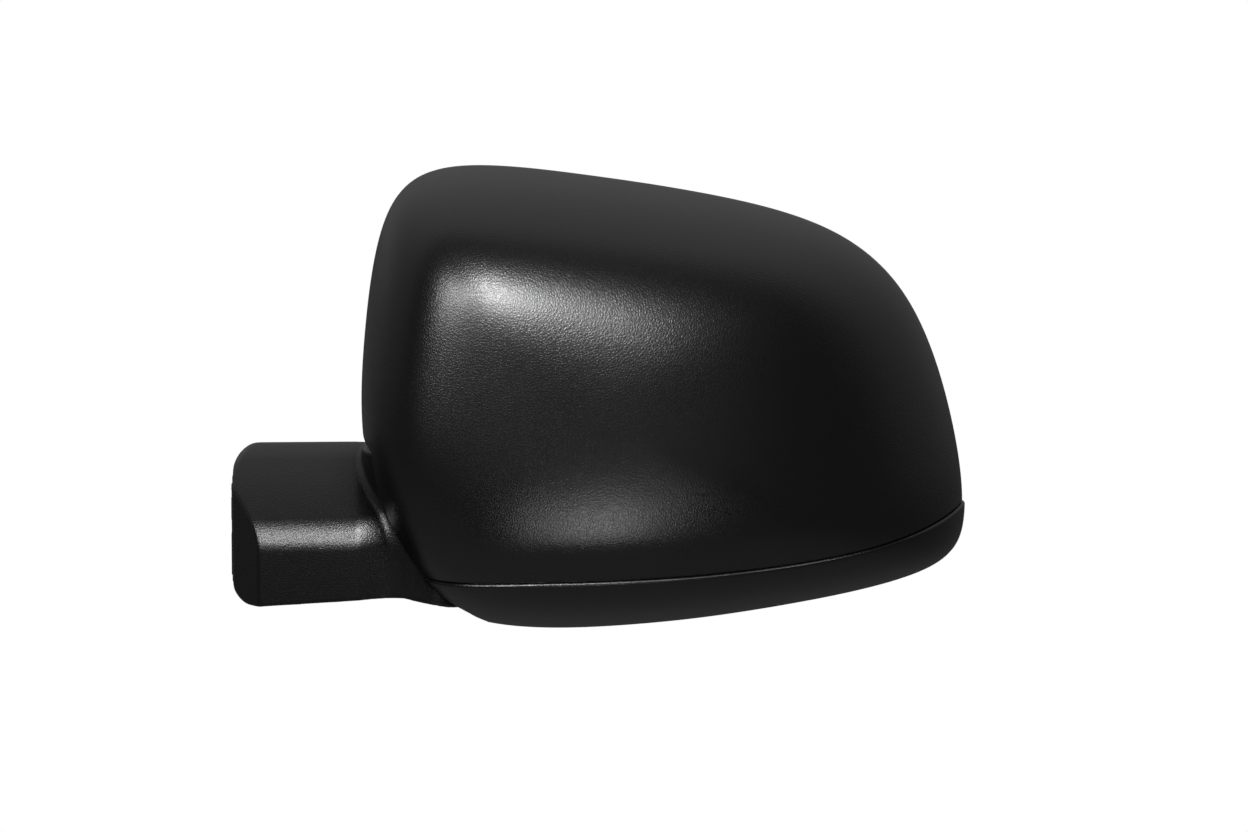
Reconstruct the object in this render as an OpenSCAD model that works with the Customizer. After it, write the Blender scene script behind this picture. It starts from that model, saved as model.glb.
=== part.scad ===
// Door wing mirror for the left side of a car or small van, with a folding
// head, a power-adjusted glass and a grained cover over a cast arm.
// The origin is the middle of the arm's door face. X runs outboard, -Y is the
// way the cover faces, +Y is the glass side and Z is up. All sizes are in mm.

/* [Head] */
// width of the head between the outline's side points
head_w = 222; // [205:0.5:235]
// height of the head between the outline's top and bottom points
head_h = 174; // [165:0.5:185]
// distance from the door face to the head's inner side
head_x = 52; // [50:0.5:56]
// how far the head's front stands ahead of the fold axis
head_front = 55; // [52:0.5:62]
// how far the glass rim stands behind the fold axis
rim_back = 52; // [50:0.5:56]
// how much the front falls back towards the outer end, mm per mm
front_tilt = 0.10; // [0.05:0.01:0.14]
// wall of the cover, the lower cover and the rim
wall = 2.5; // [2:0.1:3]
// height of the joint between the cover and the lower cover
seam_z = -17; // [-19:0.5:-15]
// rise of that joint at the outer end
seam_rise = 19; // [14:0.5:22]
// how far the lower cover stands proud of the cover
lower_proud = 1; // [0.6:0.1:1.4]
// height of the crease above the lower joint
crease_up = 14; // [12:0.5:18]
// turn-in of the band below the crease, mm per mm
crease_slope = 0.24; // [0.1:0.02:0.3]
// open joint between neighbouring covers
joint_gap = 0.5; // [0.3:0.05:0.8]

/* [Arm] */
// distance from the door face to the fold axis
fold_x = 70; // [69:0.5:72]
// radius of the arm's knuckle
knuckle_r = 23; // [22:0.25:24]
// half depth of the arm towards the front
arm_front = 25; // [24:0.25:26]
// half depth of the arm towards the glass side
arm_back = 18; // [16:0.5:19]
// height of the arm's top above the bolt axis
arm_top = 30.5; // [29.5:0.25:31]
// depth of the arm's bottom edge below the bolt axis
arm_bottom = 28; // [27:0.25:29]
// height of the arm's front edge, where the sloping top begins
arm_edge = -1.5; // [-4:0.5:0]
// wall of the arm cover
arm_wall = 2.5; // [2:0.1:3]
// thickness of the door gasket
gasket_t = 2; // [1.5:0.1:3]
// pitch circle of the two door bolts
bolt_pcd = 22; // [20:0.5:24]
// tapping radius of the door bolts
bolt_r = 2.5; // [2.1:0.05:2.6]
// radius of the cable hole in the grommet
cable_r = 2.8; // [2:0.1:3.2]

/* [Fold joint] */
// radius of the hollow pivot post
post_r = 9; // [8.5:0.1:9.5]
// running clearance of the collar on the post
run_fit = 0.06; // [0.03:0.01:0.1]
// wire of the fold spring
wire_d = 2.8; // [2.4:0.1:3]

/* [Glass] */
// gap from the rim's outline to the glass edge
glass_inset = 9.5; // [9:0.1:10.5]
// glass thickness
glass_t = 2; // [1.8:0.1:3]
// depth of the glass face behind the rim
glass_sink = 15; // [14:0.5:17]
// distance of each drive spindle from the middle of the glass
drive_arm = 26; // [25:0.5:28]

/* [Hidden] */
$fn = 64;

// the head's outline seen from the front: share of width, share of height and
// how square the section is there, from the low inner corner round by the outer end
head_outline = [
    [0.15, -0.03, 3.2], [0.47, -0.02, 3.2], [0.69, 0.01, 3.0], [0.99, 0.08, 2.8], [1.04, 0.18, 2.6],
    [1.02, 0.41, 2.5], [0.95, 0.70, 2.5], [0.81, 0.86, 2.6], [0.58, 0.93, 2.8], [0.37, 0.97, 3.0],
    [0.12, 1.01, 3.4], [0.02, 0.92, 4.2], [-0.01, 0.63, 5.0], [-0.02, 0.37, 5.5], [0.04, 0.15, 4.5]];
// the glass rim's outline in the same shares, with the low inner corner drawn in past the arm
rim_outline = [
    [0.28, 0.00], [0.48, 0.00], [0.69, 0.03], [0.965, 0.10], [1.01, 0.19],
    [0.99, 0.41], [0.925, 0.69], [0.79, 0.84], [0.575, 0.905], [0.37, 0.945],
    [0.14, 0.98], [0.05, 0.895], [0.03, 0.63], [0.11, 0.36], [0.20, 0.12]];
head_z = -39;
pole = [head_x + 0.34 * head_w, head_z + 0.50 * head_h];
blend_depth = 0.35;
crease_soft = 2;
cover_from = 0.175;
around = 72;
down = 12;
outline_n = len(head_outline);
turns = [for (i = [0:around - 1]) i * outline_n / around];

// black grained, black smooth, cast metal, steel, pale nylon and rubber
grained = [0.10, 0.10, 0.11];
smooth_black = [0.16, 0.16, 0.17];
cast = [0.62, 0.63, 0.64];
steel = [0.72, 0.73, 0.75];
nylon = [0.80, 0.79, 0.74];
rubber = [0.05, 0.05, 0.05];

// the stack behind the glass, all from its face
glass_y1 = rim_back - glass_sink;
glass_y0 = glass_y1 - glass_t;
pad_t = 1;
carrier_back = glass_y0 - pad_t - 2.5;
tilt_y = carrier_back - 8.5;
lid_top = tilt_y - 9;
lid_joint = lid_top - 12;
case_back = lid_top - 25.8;
plate_back = case_back - 0.1;
plate_front = plate_back - 5;
middle = [head_x + 0.52 * head_w, head_z + 0.50 * head_h];
case_r = drive_arm + 12;
case_wall = 2.5;
ear_at = case_r + 3.5;
spool_r = case_r - case_wall - 1.8 - drive_arm;
screw_r = 1.5;
screw_head_r = 3;
// turns round the outline and down the section of the posts that carry the cover,
// and of the two screws that hold the lower cover
cap_posts = [[10.5, 60], [7.2, 62], [3.3, 62], [0.2, 62]];
low_posts = [[0.95, 27], [2.0, 27]];

// the arm and its hub
hub_r = knuckle_r - arm_wall - 0.4;
hub_top = arm_top - arm_wall - 0.2;
base_z = -arm_bottom + 5.6;
detent_t = 3;
collar_r = post_r + 6;
collar_z = hub_top + detent_t + 0.05;
collar_t = 12;
washer_z = collar_z + collar_t + 0.05;
spring_z = washer_z + 1.5;
spring_h = 25;
seat_z = spring_z + spring_h;
clip_z = seat_z + 3;
relief_r = knuckle_r + 2.5;
relief_top = arm_top + 1;
fold_deg = 65;
door_screws = [[30, 1], [fold_x + 12.5, 0]];
// the cover's end stands just off the door, round the gasket
arm_start = 0.3;
low_sink = 2.3;

function unit(v) = v / norm(v);
function ease(v) = let(w = min(1, max(0, v))) w * w * (3 - 2 * w);
function spline(P, t) = let(k = len(P), i = floor(t), f = t - i)
    (pow(1 - f, 3) * P[(i + k - 1) % k] + (3 * pow(f, 3) - 6 * f * f + 4) * P[i % k]
    + (-3 * pow(f, 3) + 3 * f * f + 3 * f + 1) * P[(i + 1) % k] + pow(f, 3) * P[(i + 2) % k]) / 6;
function placed(p) = [head_x + p[0] * head_w, head_z + p[1] * head_h];
function seam_at(x) = seam_z + seam_rise * pow(max(0, (x - pole[0] + 12) / (0.72 * head_w)), 3);
function crease_at(x) = seam_z + crease_up + 0.03 * (x - pole[0]);
function ramp(h) = (h + sqrt(h * h + crease_soft * crease_soft)) / 2;
function tuck(x, z) = let(h = crease_at(x) - z)
    crease_slope * ease((x - head_x - 18) / 45) * ease((head_x + head_w - 20 - x) / 65) * (ramp(h) - ramp(h - 13));
// angle down the section at which the head has come a share of its depth
function turn_at(t, depth) = let(n = spline(head_outline, t)[2]) atan2(depth, pow(1 - pow(depth, n), 1 / n));
function head_at(t, a) = let(
    o = spline(head_outline, t), n = o[2], c = cos(a), s = sin(a),
    k = pow(pow(c, n) + pow(s, n), -1 / n), across = c * k, depth = s * k,
    w = ease(depth / blend_depth),
    edge = (1 - w) * placed(spline(rim_outline, t)) + w * placed(o),
    q = pole + across * (edge - pole),
    front = -head_front + front_tilt * (q[0] - pole[0]) + tuck(q[0], q[1]))
    [q[0], rim_back * (1 - depth) + front * depth, q[1]];
// a point inside the head's face by a depth, or outside it by a negative one
function head_in(t, a, off) = off == 0 ? head_at(t, a) : a > 89 ? head_at(t, 90) + [0, off, 0] :
    head_at(t, a) + off * unit(cross(head_at(t, a + 0.5) - head_at(t, a - 0.5),
        head_at(t + 0.02, a) - head_at(t + outline_n - 0.02, a)));
// the glass rim's outline drawn in by a distance
function rim_in(t, off) = let(d = unit(placed(spline(rim_outline, t + 0.02)) - placed(spline(rim_outline, t + outline_n - 0.02))))
    placed(spline(rim_outline, t)) + off * [-d[1], d[0]];
function left_of(a, b) = let(u = unit(b - a)) [-u[1], u[0]];
// a polygon drawn in by a distance, and one with rounded corners
function drawn_in(P, off) = let(k = len(P)) [for (j = [0:k - 1])
    let(m = left_of(P[(j + k - 1) % k], P[j]), n = left_of(P[j], P[(j + 1) % k])) P[j] + off * (m + n) / (1 + m * n)];
function corner(a, b, c, r) = r <= 0 ? [b] : let(u = unit(a - b), v = unit(c - b), half = acos(u * v) / 2,
    o = b + unit(u + v) * r / sin(half), s = b + u * r / tan(half) - o, e = b + v * r / tan(half) - o,
    from = atan2(s[1], s[0]), by = (atan2(e[1], e[0]) - from + 540) % 360 - 180)
    [for (i = [0:6]) o + r * [cos(from + by * i / 6), sin(from + by * i / 6)]];
function rounded(P, R) = let(k = len(P)) [for (j = [0:k - 1]) each corner(P[(j + k - 1) % k], P[j], P[(j + 1) % k], R[j])];

module slab_x(x0, x1) rotate([90, 0, 90]) translate([0, 0, x0]) linear_extrude(x1 - x0) children();
module slab_y(y0, y1) rotate([90, 0, 0]) translate([0, 0, -y1]) linear_extrude(y1 - y0) children();
module rod_x(y, z, r, x0, x1) translate([x0, y, z]) rotate([0, 90, 0]) cylinder(h = x1 - x0, r = r);
module rod_y(x, z, r, y0, y1) translate([x, y1, z]) rotate([90, 0, 0]) cylinder(h = y1 - y0, r = r);
module rod_z(x, y, r, z0, z1) translate([x, y, z0]) cylinder(h = z1 - z0, r = r);
module box(a, b) translate(a) cube(b - a);

// rings of points closed to a solid: the first and last rings are joined by a strip when hollow
function strip_up(n, m, at) = [for (j = [0:m - 2]) for (i = [0:n - 1]) let(p = at + j * n + i, q = at + j * n + (i + 1) % n)
    each [[p, q, q + n], [p, q + n, p + n]]];
function strip_down(n, m, at) = [for (f = strip_up(n, m, at)) [f[0], f[2], f[1]]];

// a closed shell of the head from a ring at a share of its depth to the front
module head_shell(outer, inner, from) {
    rings = [for (off = [outer, inner]) for (j = [0:down - 1]) for (t = turns)
        let(a0 = turn_at(t, from)) head_in(t, a0 + (90 - a0) * j / down, off < 0 ? off * ease(j / 3) : off)];
    m = around * down;
    last = m - around;
    polyhedron(
        points = concat(rings, [head_in(0, 90, outer), head_in(0, 90, inner)]),
        faces = concat(strip_up(around, down, 0), strip_down(around, down, m),
            [for (i = [0:around - 1]) let(k = (i + 1) % around) each
                [[last + i, last + k, 2 * m], [m + last + i, 2 * m + 1, m + last + k], [i, m + i, m + k], [i, m + k, k]]]),
        convexity = 6);
}
// the space inside the head, from a ring at a share of its depth to the front
module head_space(off, from) {
    m = around * down;
    last = m - around;
    polyhedron(
        points = concat([for (j = [0:down - 1]) for (t = turns)
            let(a0 = turn_at(t, from)) head_in(t, a0 + (90 - a0) * j / down, off)],
            [head_in(0, 90, off), [pole[0], rim_back * (1 - from) - head_front * from, pole[1]]]),
        faces = concat(strip_up(around, down, 0),
            [for (i = [0:around - 1]) let(k = (i + 1) % around) each [[last + i, last + k, m], [i, m + 1, k]]]),
        convexity = 4);
}
// everything under the seam, lowered by a gap
module below_seam(drop) {
    xs = [for (i = [0:16]) head_x - 20 + i * (head_w + 50) / 16];
    slab_y(-110, 90) polygon(concat([for (x = xs) [x, seam_at(x) - drop]], [[head_x + head_w + 30, -90], [head_x - 20, -90]]));
}
// the room that the arm takes in the head from straight out to folded back
module relief(grow) {
    b = arm_back + 2.5 + grow;
    translate([0, 0, -90]) linear_extrude(90 + relief_top + grow) {
        translate([fold_x, 0]) circle(relief_r + grow);
        polygon([[-60, -arm_front - 2.5 - grow], [fold_x, -arm_front - 2.5 - grow],
            [fold_x + b * sin(fold_deg), b * cos(fold_deg)],
            [fold_x + b * sin(fold_deg) - 110 * cos(fold_deg), b * cos(fold_deg) + 110 * sin(fold_deg)], [-60, 110]]);
    }
}

// the arm's section across X, and its outline seen from the front
arm_section = [[-arm_front, -60], [arm_back, -60], [arm_back, arm_top], [arm_back - 9, arm_top], [-arm_front, arm_edge]];
arm_outline = [[arm_start, -arm_bottom], [fold_x - 18, 2.8 - arm_bottom], [fold_x - 6, 2.8 - arm_bottom],
    [fold_x + 10, -arm_bottom - 1], [fold_x + knuckle_r + 2, -arm_bottom - 3],
    [fold_x + knuckle_r + 2, arm_top], [arm_start, arm_top]];
chamfer = [[-4, -3.6], [-4, -40], [20, -40.3]];
module arm_shape(off) {
    intersection() {
        union() {
            slab_x(arm_start, fold_x) polygon(rounded(drawn_in(arm_section, off), [0, 0, 4 - off, 6, 10 - off]));
            rotate_extrude_at(off);
        }
        slab_y(-40, 40) polygon(rounded(off > 0 ? [[arm_start + off, -60], [fold_x + 60, -60], [fold_x + 60, arm_top - off],
            [arm_start + off, arm_top - off]] : arm_outline, off > 0 ? [0, 0, 0, 12] : [8, 0, 0, 0, 0, 0, 15]));
    }
}
module rotate_extrude_at(off) translate([fold_x, 0, 0]) rotate_extrude()
    polygon(rounded([[0, -60], [knuckle_r - off, -60], [knuckle_r - off, arm_top - off], [0, arm_top - off]], [0, 0, off > 0 ? 1 : 2.5, 0]));
module chamfer_cut(off) translate([off * 0.836, off * 0.547, -80]) linear_extrude(160) polygon(chamfer);

module foot_cover() color(grained) {
    difference() {
        arm_shape(0);
        chamfer_cut(0);
        difference() {
            arm_shape(arm_wall);
            chamfer_cut(arm_wall);
        }
        slab_x(-1, gasket_t + 8) polygon([[-7.3, -20.3], [15.8, -20.3], [15.8, 15.3], [-1.1, 15.3], [-7.3, 9.1]]);
        rod_z(fold_x, 0, collar_r + 0.6, arm_top - 8, arm_top + 1);
    }
}
module foot_bracket() color(cast) {
    difference() {
        union() {
            slab_x(gasket_t, gasket_t + 6) polygon(rounded([[-6.3, -19.4], [14.8, -19.4], [14.8, 14.4], [-1.2, 14.4], [-6.3, 9.3]], [3, 3, 3, 1.5, 1.5]));
            slab_x(gasket_t + 5, fold_x - 8) polygon([[-6, -15], [13, -15], [13, 15], [-0.5, 15], [-6, 9.5]]);
            rod_z(fold_x, 0, hub_r, base_z + 2.2, hub_top);
            rod_z(fold_x, 0, post_r, hub_top, clip_z + 6);
            rod_z(door_screws[0][0], door_screws[0][1], 4, base_z + 2.2, -12);
        }
        rod_x(0, 0, 4.5, 0, fold_x);
        rod_z(fold_x, 0, post_r - 3, -5, clip_z + 7);
        for (s = [-1, 1]) rod_x(0, s * bolt_pcd / 2, bolt_r, 0, gasket_t + 13);
        translate([fold_x, 0, clip_z - 0.05]) difference() {
            cylinder(h = 1.6, r = post_r + 1);
            translate([0, 0, -1]) cylinder(h = 4, r = post_r - 1);
        }
        for (p = door_screws) rod_z(p[0], p[1], screw_r, base_z, base_z + 10.5);
    }
}
module foot_bottom_plate() color(smooth_black) {
    difference() {
        translate([0, 0, base_z]) linear_extrude(2) difference() {
            union() {
                translate([arm_start + arm_wall + 0.4, -arm_front + arm_wall + 0.3])
                    square([fold_x - arm_start - arm_wall - 0.4, arm_front + arm_back - 2 * arm_wall - 0.6]);
                translate([fold_x, 0]) circle(knuckle_r - arm_wall - 0.3);
            }
            translate([(arm_wall + 0.4) * 0.836, (arm_wall + 0.4) * 0.547]) polygon(chamfer);
        }
        for (p = door_screws) rod_z(p[0], p[1], screw_r + 0.3, base_z - 1, base_z + 3);
    }
}
module foot_gasket() color(rubber) {
    difference() {
        slab_x(0, gasket_t) polygon(rounded([[-7, -20], [15.5, -20], [15.5, 15], [-1, 15], [-7, 9]], [3, 3, 3, 1.5, 1.5]));
        rod_x(0, 0, 5.8, -1, gasket_t + 1);
        for (s = [-1, 1]) rod_x(0, s * bolt_pcd / 2, bolt_r, -1, gasket_t + 1);
    }
}
module cable_grommet() color(rubber) {
    difference() {
        union() {
            rod_x(0, 0, 5.5, 0.3, gasket_t - 0.05);
            rod_x(0, 0, 4.4, 0.3, gasket_t + 8);
        }
        rod_x(0, 0, cable_r, 0, gasket_t + 9);
    }
}
module pan_screw(len) {
    difference() {
        translate([0, 0, -2]) cylinder(h = 2, r = screw_head_r);
        translate([-2, -0.4, -2.5]) cube([4, 0.8, 1.5]);
        translate([-0.4, -2, -2.5]) cube([0.8, 4, 1.5]);
    }
    cylinder(h = len, r = screw_r - 0.05);
}
module foot_screws() color(steel) for (p = door_screws) translate([p[0], p[1], base_z]) pan_screw(9);
module detent_ring() color(steel) translate([fold_x, 0, hub_top]) difference() {
    cylinder(h = detent_t, r = collar_r - 0.3);
    translate([0, 0, -1]) cylinder(h = detent_t + 2, r = post_r + 0.15);
    for (a = [0:120:240]) rotate(a) translate([0, -1.5, detent_t - 0.8]) cube([30, 3, 2]);
}
module thrust_washer() color(steel) translate([fold_x, 0, washer_z]) difference() {
    cylinder(h = 1.4, r = post_r + 4);
    translate([0, 0, -1]) cylinder(h = 4, r = post_r + 0.15);
}
module fold_spring() color(steel) {
    n = 8;
    per = 14;
    coils = 5;
    r = post_r + 0.7 + wire_d / 2;
    m = per * coils;
    rise = (spring_h - wire_d - 0.1) / m;
    translate([fold_x, 0, spring_z + wire_d / 2 + 0.05]) polyhedron(
        points = concat([for (j = [0:m]) for (i = [0:n - 1]) let(a = j * 360 / per, b = i * 360 / n)
            [(r + wire_d / 2 * cos(b)) * cos(a), (r + wire_d / 2 * cos(b)) * sin(a), j * rise + wire_d / 2 * sin(b)]],
            [[r, 0, 0], [r * cos(m * 360 / per), r * sin(m * 360 / per), m * rise]]),
        faces = concat(strip_down(n, m + 1, 0),
            [for (i = [0:n - 1]) let(k = (i + 1) % n) each [[i, k, (m + 1) * n], [m * n + i, (m + 1) * n + 1, m * n + k]]]),
        convexity = 12);
}
module spring_seat() color(steel) translate([fold_x, 0, seat_z]) difference() {
    cylinder(h = 2.95, r = post_r + 4);
    translate([0, 0, -1]) cylinder(h = 6, r = post_r + 0.1);
}
module retaining_clip() color(steel) translate([fold_x, 0, clip_z]) difference() {
    cylinder(h = 1.5, r = post_r + 2.5);
    translate([0, 0, -1]) cylinder(h = 4, r = post_r - 0.9);
    translate([-30, -3, -1]) cube([30, 6, 4]);
}

// height of the bracket plate's lower edge
function plate_low(x) = head_z + 0.132 * head_h + max(0, x - head_x - 0.63 * head_w) * 0.66;
module head_bracket() color(smooth_black) {
    low = relief_top + 3;
    difference() {
        union() {
            rod_z(fold_x, 0, collar_r, collar_z, collar_z + collar_t);
            box([fold_x, plate_front, low], [fold_x + 36, 11, collar_z + collar_t]);
            slab_y(plate_front, plate_back) polygon([[fold_x + 12, low], [fold_x + 33, low], [fold_x + 33, plate_low(0)],
                [head_x + 0.63 * head_w, plate_low(0)], [head_x + 0.74 * head_w, plate_low(head_x + 0.74 * head_w)],
                [head_x + 0.72 * head_w, head_z + 0.66 * head_h], [head_x + 0.585 * head_w, head_z + 0.80 * head_h],
                [fold_x + 24, head_z + 0.80 * head_h], [fold_x + 12, head_z + 0.68 * head_h]]);
            for (p = low_posts) let(q = head_at(p[0], p[1]), top = plate_low(q[0])) {
                box([q[0] - 6, plate_front, top - 2], [q[0] + 6, q[1] + 6, top + 2]);
                rod_z(q[0], q[1], 4, q[2] + wall + 1.7, top);
            }
            for (p = cap_posts) let(q = head_at(p[0], p[1])) {
                rod_y(q[0], q[2], 7, plate_front, plate_back);
                rod_y(q[0], q[2], 4, q[1] + wall + 6.6, plate_front + 1);
                rod_y(q[0], q[2], 2, q[1] + wall + 2.4, plate_front + 1);
            }
        }
        rod_z(fold_x, 0, post_r + run_fit, collar_z - 1, collar_z + collar_t + 1);
        for (p = low_posts) let(q = head_at(p[0], p[1])) rod_z(q[0], q[1], screw_r, q[2], q[2] + wall + 11);
        for (a = [90, 210, 330]) rod_y(middle[0] + ear_at * cos(a), middle[1] + ear_at * sin(a), screw_r, plate_front - 1, plate_back + 1);
        rod_y(middle[0], middle[1], 24, plate_front - 1, plate_back + 1);
        slab_y(plate_front - 1, plate_back + 1) polygon(rounded([[fold_x + 42, 10], [fold_x + 50, 10], [fold_x + 50, 30], [fold_x + 42, 30]], [3, 3, 3, 3]));
    }
}
module pivot_shroud() color(smooth_black) difference() {
    intersection() {
        relief(2.3);
        head_space(wall + 0.4, 0.28);
    }
    relief(0.3);
    rod_z(fold_x, 0, collar_r + 1, 0, relief_top + 10);
    box([fold_x + 11, carrier_back - 16, -90], [fold_x + 40, rim_back, relief_top + 10]);
}
module cover_cap() color(grained) {
    difference() {
        head_shell(0, wall, cover_from);
        below_seam(0);
        relief(0);
        box([fold_x, 12, -60], [fold_x + 24, 60, seam_z + 22]);
    }
}
module lower_cover() color(grained) {
    difference() {
        intersection() {
            head_shell(-lower_proud, wall, cover_from);
            below_seam(joint_gap);
        }
        relief(0);
        for (p = low_posts) let(q = head_at(p[0], p[1])) {
            rod_z(q[0], q[1], screw_r + 0.3, q[2] - 9, q[2] + 9);
            rod_z(q[0], q[1], screw_head_r + 0.3, q[2] - 9, q[2] - lower_proud + low_sink);
        }
    }
}
module rim_frame() color(grained) {
    n = around;
    lap = 5;
    rows = concat(
        [for (k = [0:3]) [for (t = turns) head_in(t, turn_at(t, cover_from - 0.006) * (1 - k / 3), 0)]],
        [[for (t = turns) let(q = rim_in(t, 1.6)) [q[0], rim_back + 1, q[1]]]],
        [[for (t = turns) let(q = rim_in(t, 3.6)) [q[0], rim_back, q[1]]]],
        [[for (t = turns) let(q = rim_in(t, 6.5)) [q[0], rim_back - 28, q[1]]]],
        [[for (t = turns) let(q = rim_in(t, 4.6)) [q[0], rim_back - 28, q[1]]]],
        [[for (t = turns) let(q = rim_in(t, 2.3)) [q[0], rim_back - 3, q[1]]]],
        [[for (t = turns) head_in(t, turn_at(t, cover_from - 0.006), wall + 1.6)]],
        [[for (t = turns) head_in(t, turn_at(t, cover_from) + lap, wall + 1.6)]],
        [[for (t = turns) head_in(t, turn_at(t, cover_from) + lap, wall + 0.55)]],
        [[for (t = turns) head_in(t, turn_at(t, cover_from - 0.006), wall + 0.3)]]);
    m = len(rows);
    difference() {
        polyhedron(points = [for (r = rows) each r],
            faces = [for (j = [0:m - 1]) for (i = [0:n - 1]) let(k = (i + 1) % n, l = (j + 1) % m)
                each [[j * n + i, l * n + k, j * n + k], [j * n + i, l * n + i, l * n + k]]],
            convexity = 8);
        relief(0);
    }
}
module cap_clips() color(nylon) for (p = cap_posts) let(q = head_at(p[0], p[1])) difference() {
    rod_y(q[0], q[2], 3.5, q[1] + wall + 2.6, q[1] + wall + 6.55);
    rod_y(q[0], q[2], 2.05, q[1] + wall, q[1] + wall + 8);
}
module lower_cover_screws() color(steel) for (p = low_posts) let(q = head_at(p[0], p[1]))
    translate([q[0], q[1], q[2] - lower_proud + low_sink]) pan_screw(wall + 8);

module actuator_base() color(smooth_black) translate([middle[0], 0, middle[1]]) difference() {
    union() {
        rod_y(0, 0, case_r, case_back, lid_joint - 0.05);
        for (a = [90, 210, 330]) rod_y(ear_at * cos(a), ear_at * sin(a), 5, case_back, case_back + 4);
    }
    rod_y(0, 0, case_r - case_wall, case_back + case_wall, lid_joint + 1);
    for (a = [90, 210, 330]) rod_y(ear_at * cos(a), ear_at * sin(a), screw_r + 0.3, case_back - 1, case_back + 5);
}
module actuator_lid() color(smooth_black) translate([middle[0], 0, middle[1]]) difference() {
    union() {
        rod_y(0, 0, case_r, lid_joint, lid_top);
        rod_y(0, 0, case_r - case_wall - 0.15, lid_joint - 2, lid_joint + 1);
        for (s = [-1, 1]) box([-4, lid_top - 1, s * 11 - 2.5], [4, tilt_y + 4, s * 11 + 2.5]);
    }
    rod_y(0, 0, case_r - case_wall - 1.6, lid_joint - 3, lid_top - case_wall);
    rod_y(0, -drive_arm, 3, lid_joint, lid_top + 1);
    rod_y(drive_arm, 0, 3, lid_joint, lid_top + 1);
    rod_z(0, tilt_y, 2.5 + run_fit, -20, 20);
}
module actuator_screws() color(steel) for (a = [90, 210, 330])
    translate([middle[0] + ear_at * cos(a), case_back + 4, middle[1] + ear_at * sin(a)]) rotate([90, 0, 0]) pan_screw(8.5);
module motor_unit(x, z) color(nylon) difference() {
    union() {
        rod_y(x, z, spool_r, case_back + case_wall + 0.1, lid_top - case_wall - 3.5);
        translate([x, (case_back + lid_top) / 2 - 0.8, z]) rotate([0, -45, 0]) {
            translate([0, 0, 0]) cylinder(h = 29, r = 8.3);
            cylinder(h = 31, r = 2.5);
        }
    }
    rod_y(x, z, 2.8, case_back, lid_top);
}
module tilt_motor() motor_unit(middle[0], middle[1] - drive_arm);
module pan_motor() motor_unit(middle[0] + drive_arm, middle[1]);
module spindle(x, z) color(nylon) {
    rod_y(x, z, 2.45, case_back + 6.7, tilt_y - 5);
    rod_y(x, z, 2, tilt_y - 6, tilt_y - 1);
    translate([x, tilt_y, z]) sphere(3.2);
}
module tilt_spindle() spindle(middle[0], middle[1] - drive_arm);
module pan_spindle() spindle(middle[0] + drive_arm, middle[1]);
module gimbal_cross() color(nylon) translate([middle[0], tilt_y, middle[1]]) {
    cube([12, 7, 12], center = true);
    cylinder(h = 26.6, r = 2.5, center = true);
    rotate([0, 90, 0]) cylinder(h = 26.6, r = 2.5, center = true);
}
module glass_carrier() color(smooth_black) {
    difference() {
        union() {
            slab_y(carrier_back, glass_y0 - pad_t) polygon([for (t = turns) rim_in(t, glass_inset + 1)]);
            translate([middle[0], 0, middle[1]]) {
                rod_y(0, -drive_arm, 6.5, tilt_y - 2.4, carrier_back + 1);
                rod_y(drive_arm, 0, 6.5, tilt_y - 2.4, carrier_back + 1);
                for (s = [-1, 1]) box([s * 11 - 2.5, tilt_y - 4, -4], [s * 11 + 2.5, carrier_back + 1, 4]);
                difference() {
                    rod_y(0, 0, 46, carrier_back - 3, carrier_back + 1);
                    rod_y(0, 0, 44, carrier_back - 4, carrier_back);
                }
            }
        }
        translate([middle[0], 0, middle[1]]) {
            rod_x(tilt_y, 0, 2.5 + run_fit, -20, 20);
            for (p = [[0, -drive_arm], [drive_arm, 0]]) {
                translate([p[0], tilt_y, p[1]]) sphere(4);
                rod_y(p[0], p[1], 3.15, tilt_y - 4, tilt_y);
            }
        }
    }
}
module adhesive_pad() color([0.75, 0.74, 0.70]) slab_y(glass_y0 - pad_t + 0.02, glass_y0 - 0.02) polygon([for (t = turns) rim_in(t, glass_inset + 5)]);
module mirror_glass() color([0.70, 0.76, 0.80]) slab_y(glass_y0, glass_y1) polygon([for (t = turns) rim_in(t, glass_inset)]);

foot_bracket();
foot_cover();
foot_bottom_plate();
foot_gasket();
cable_grommet();
foot_screws();
detent_ring();
fold_spring();
spring_seat();
retaining_clip();
thrust_washer();
head_bracket();
pivot_shroud();
cover_cap();
lower_cover();
rim_frame();
cap_clips();
lower_cover_screws();
actuator_base();
actuator_lid();
actuator_screws();
tilt_motor();
pan_motor();
tilt_spindle();
pan_spindle();
gimbal_cross();
glass_carrier();
adhesive_pad();
mirror_glass();
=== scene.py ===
# Door wing mirror: the looks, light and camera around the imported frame.
import math

import bmesh
import bpy
import numpy as np
from mathutils import Matrix, Vector


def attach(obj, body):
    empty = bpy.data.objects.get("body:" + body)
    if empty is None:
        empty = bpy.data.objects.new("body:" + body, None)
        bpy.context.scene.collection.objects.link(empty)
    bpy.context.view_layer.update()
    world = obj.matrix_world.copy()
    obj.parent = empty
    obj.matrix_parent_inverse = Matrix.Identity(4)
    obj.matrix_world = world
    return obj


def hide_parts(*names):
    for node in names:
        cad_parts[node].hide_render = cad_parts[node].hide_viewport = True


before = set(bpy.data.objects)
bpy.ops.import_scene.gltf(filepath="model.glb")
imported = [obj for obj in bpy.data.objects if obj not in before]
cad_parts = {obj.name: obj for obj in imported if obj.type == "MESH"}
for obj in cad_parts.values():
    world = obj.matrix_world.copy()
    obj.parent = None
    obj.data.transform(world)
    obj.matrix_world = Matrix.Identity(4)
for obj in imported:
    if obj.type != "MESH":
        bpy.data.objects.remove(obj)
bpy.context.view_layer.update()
mm = 0.001  # the forms below are in mm and degrees, unless a note says otherwise

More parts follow.
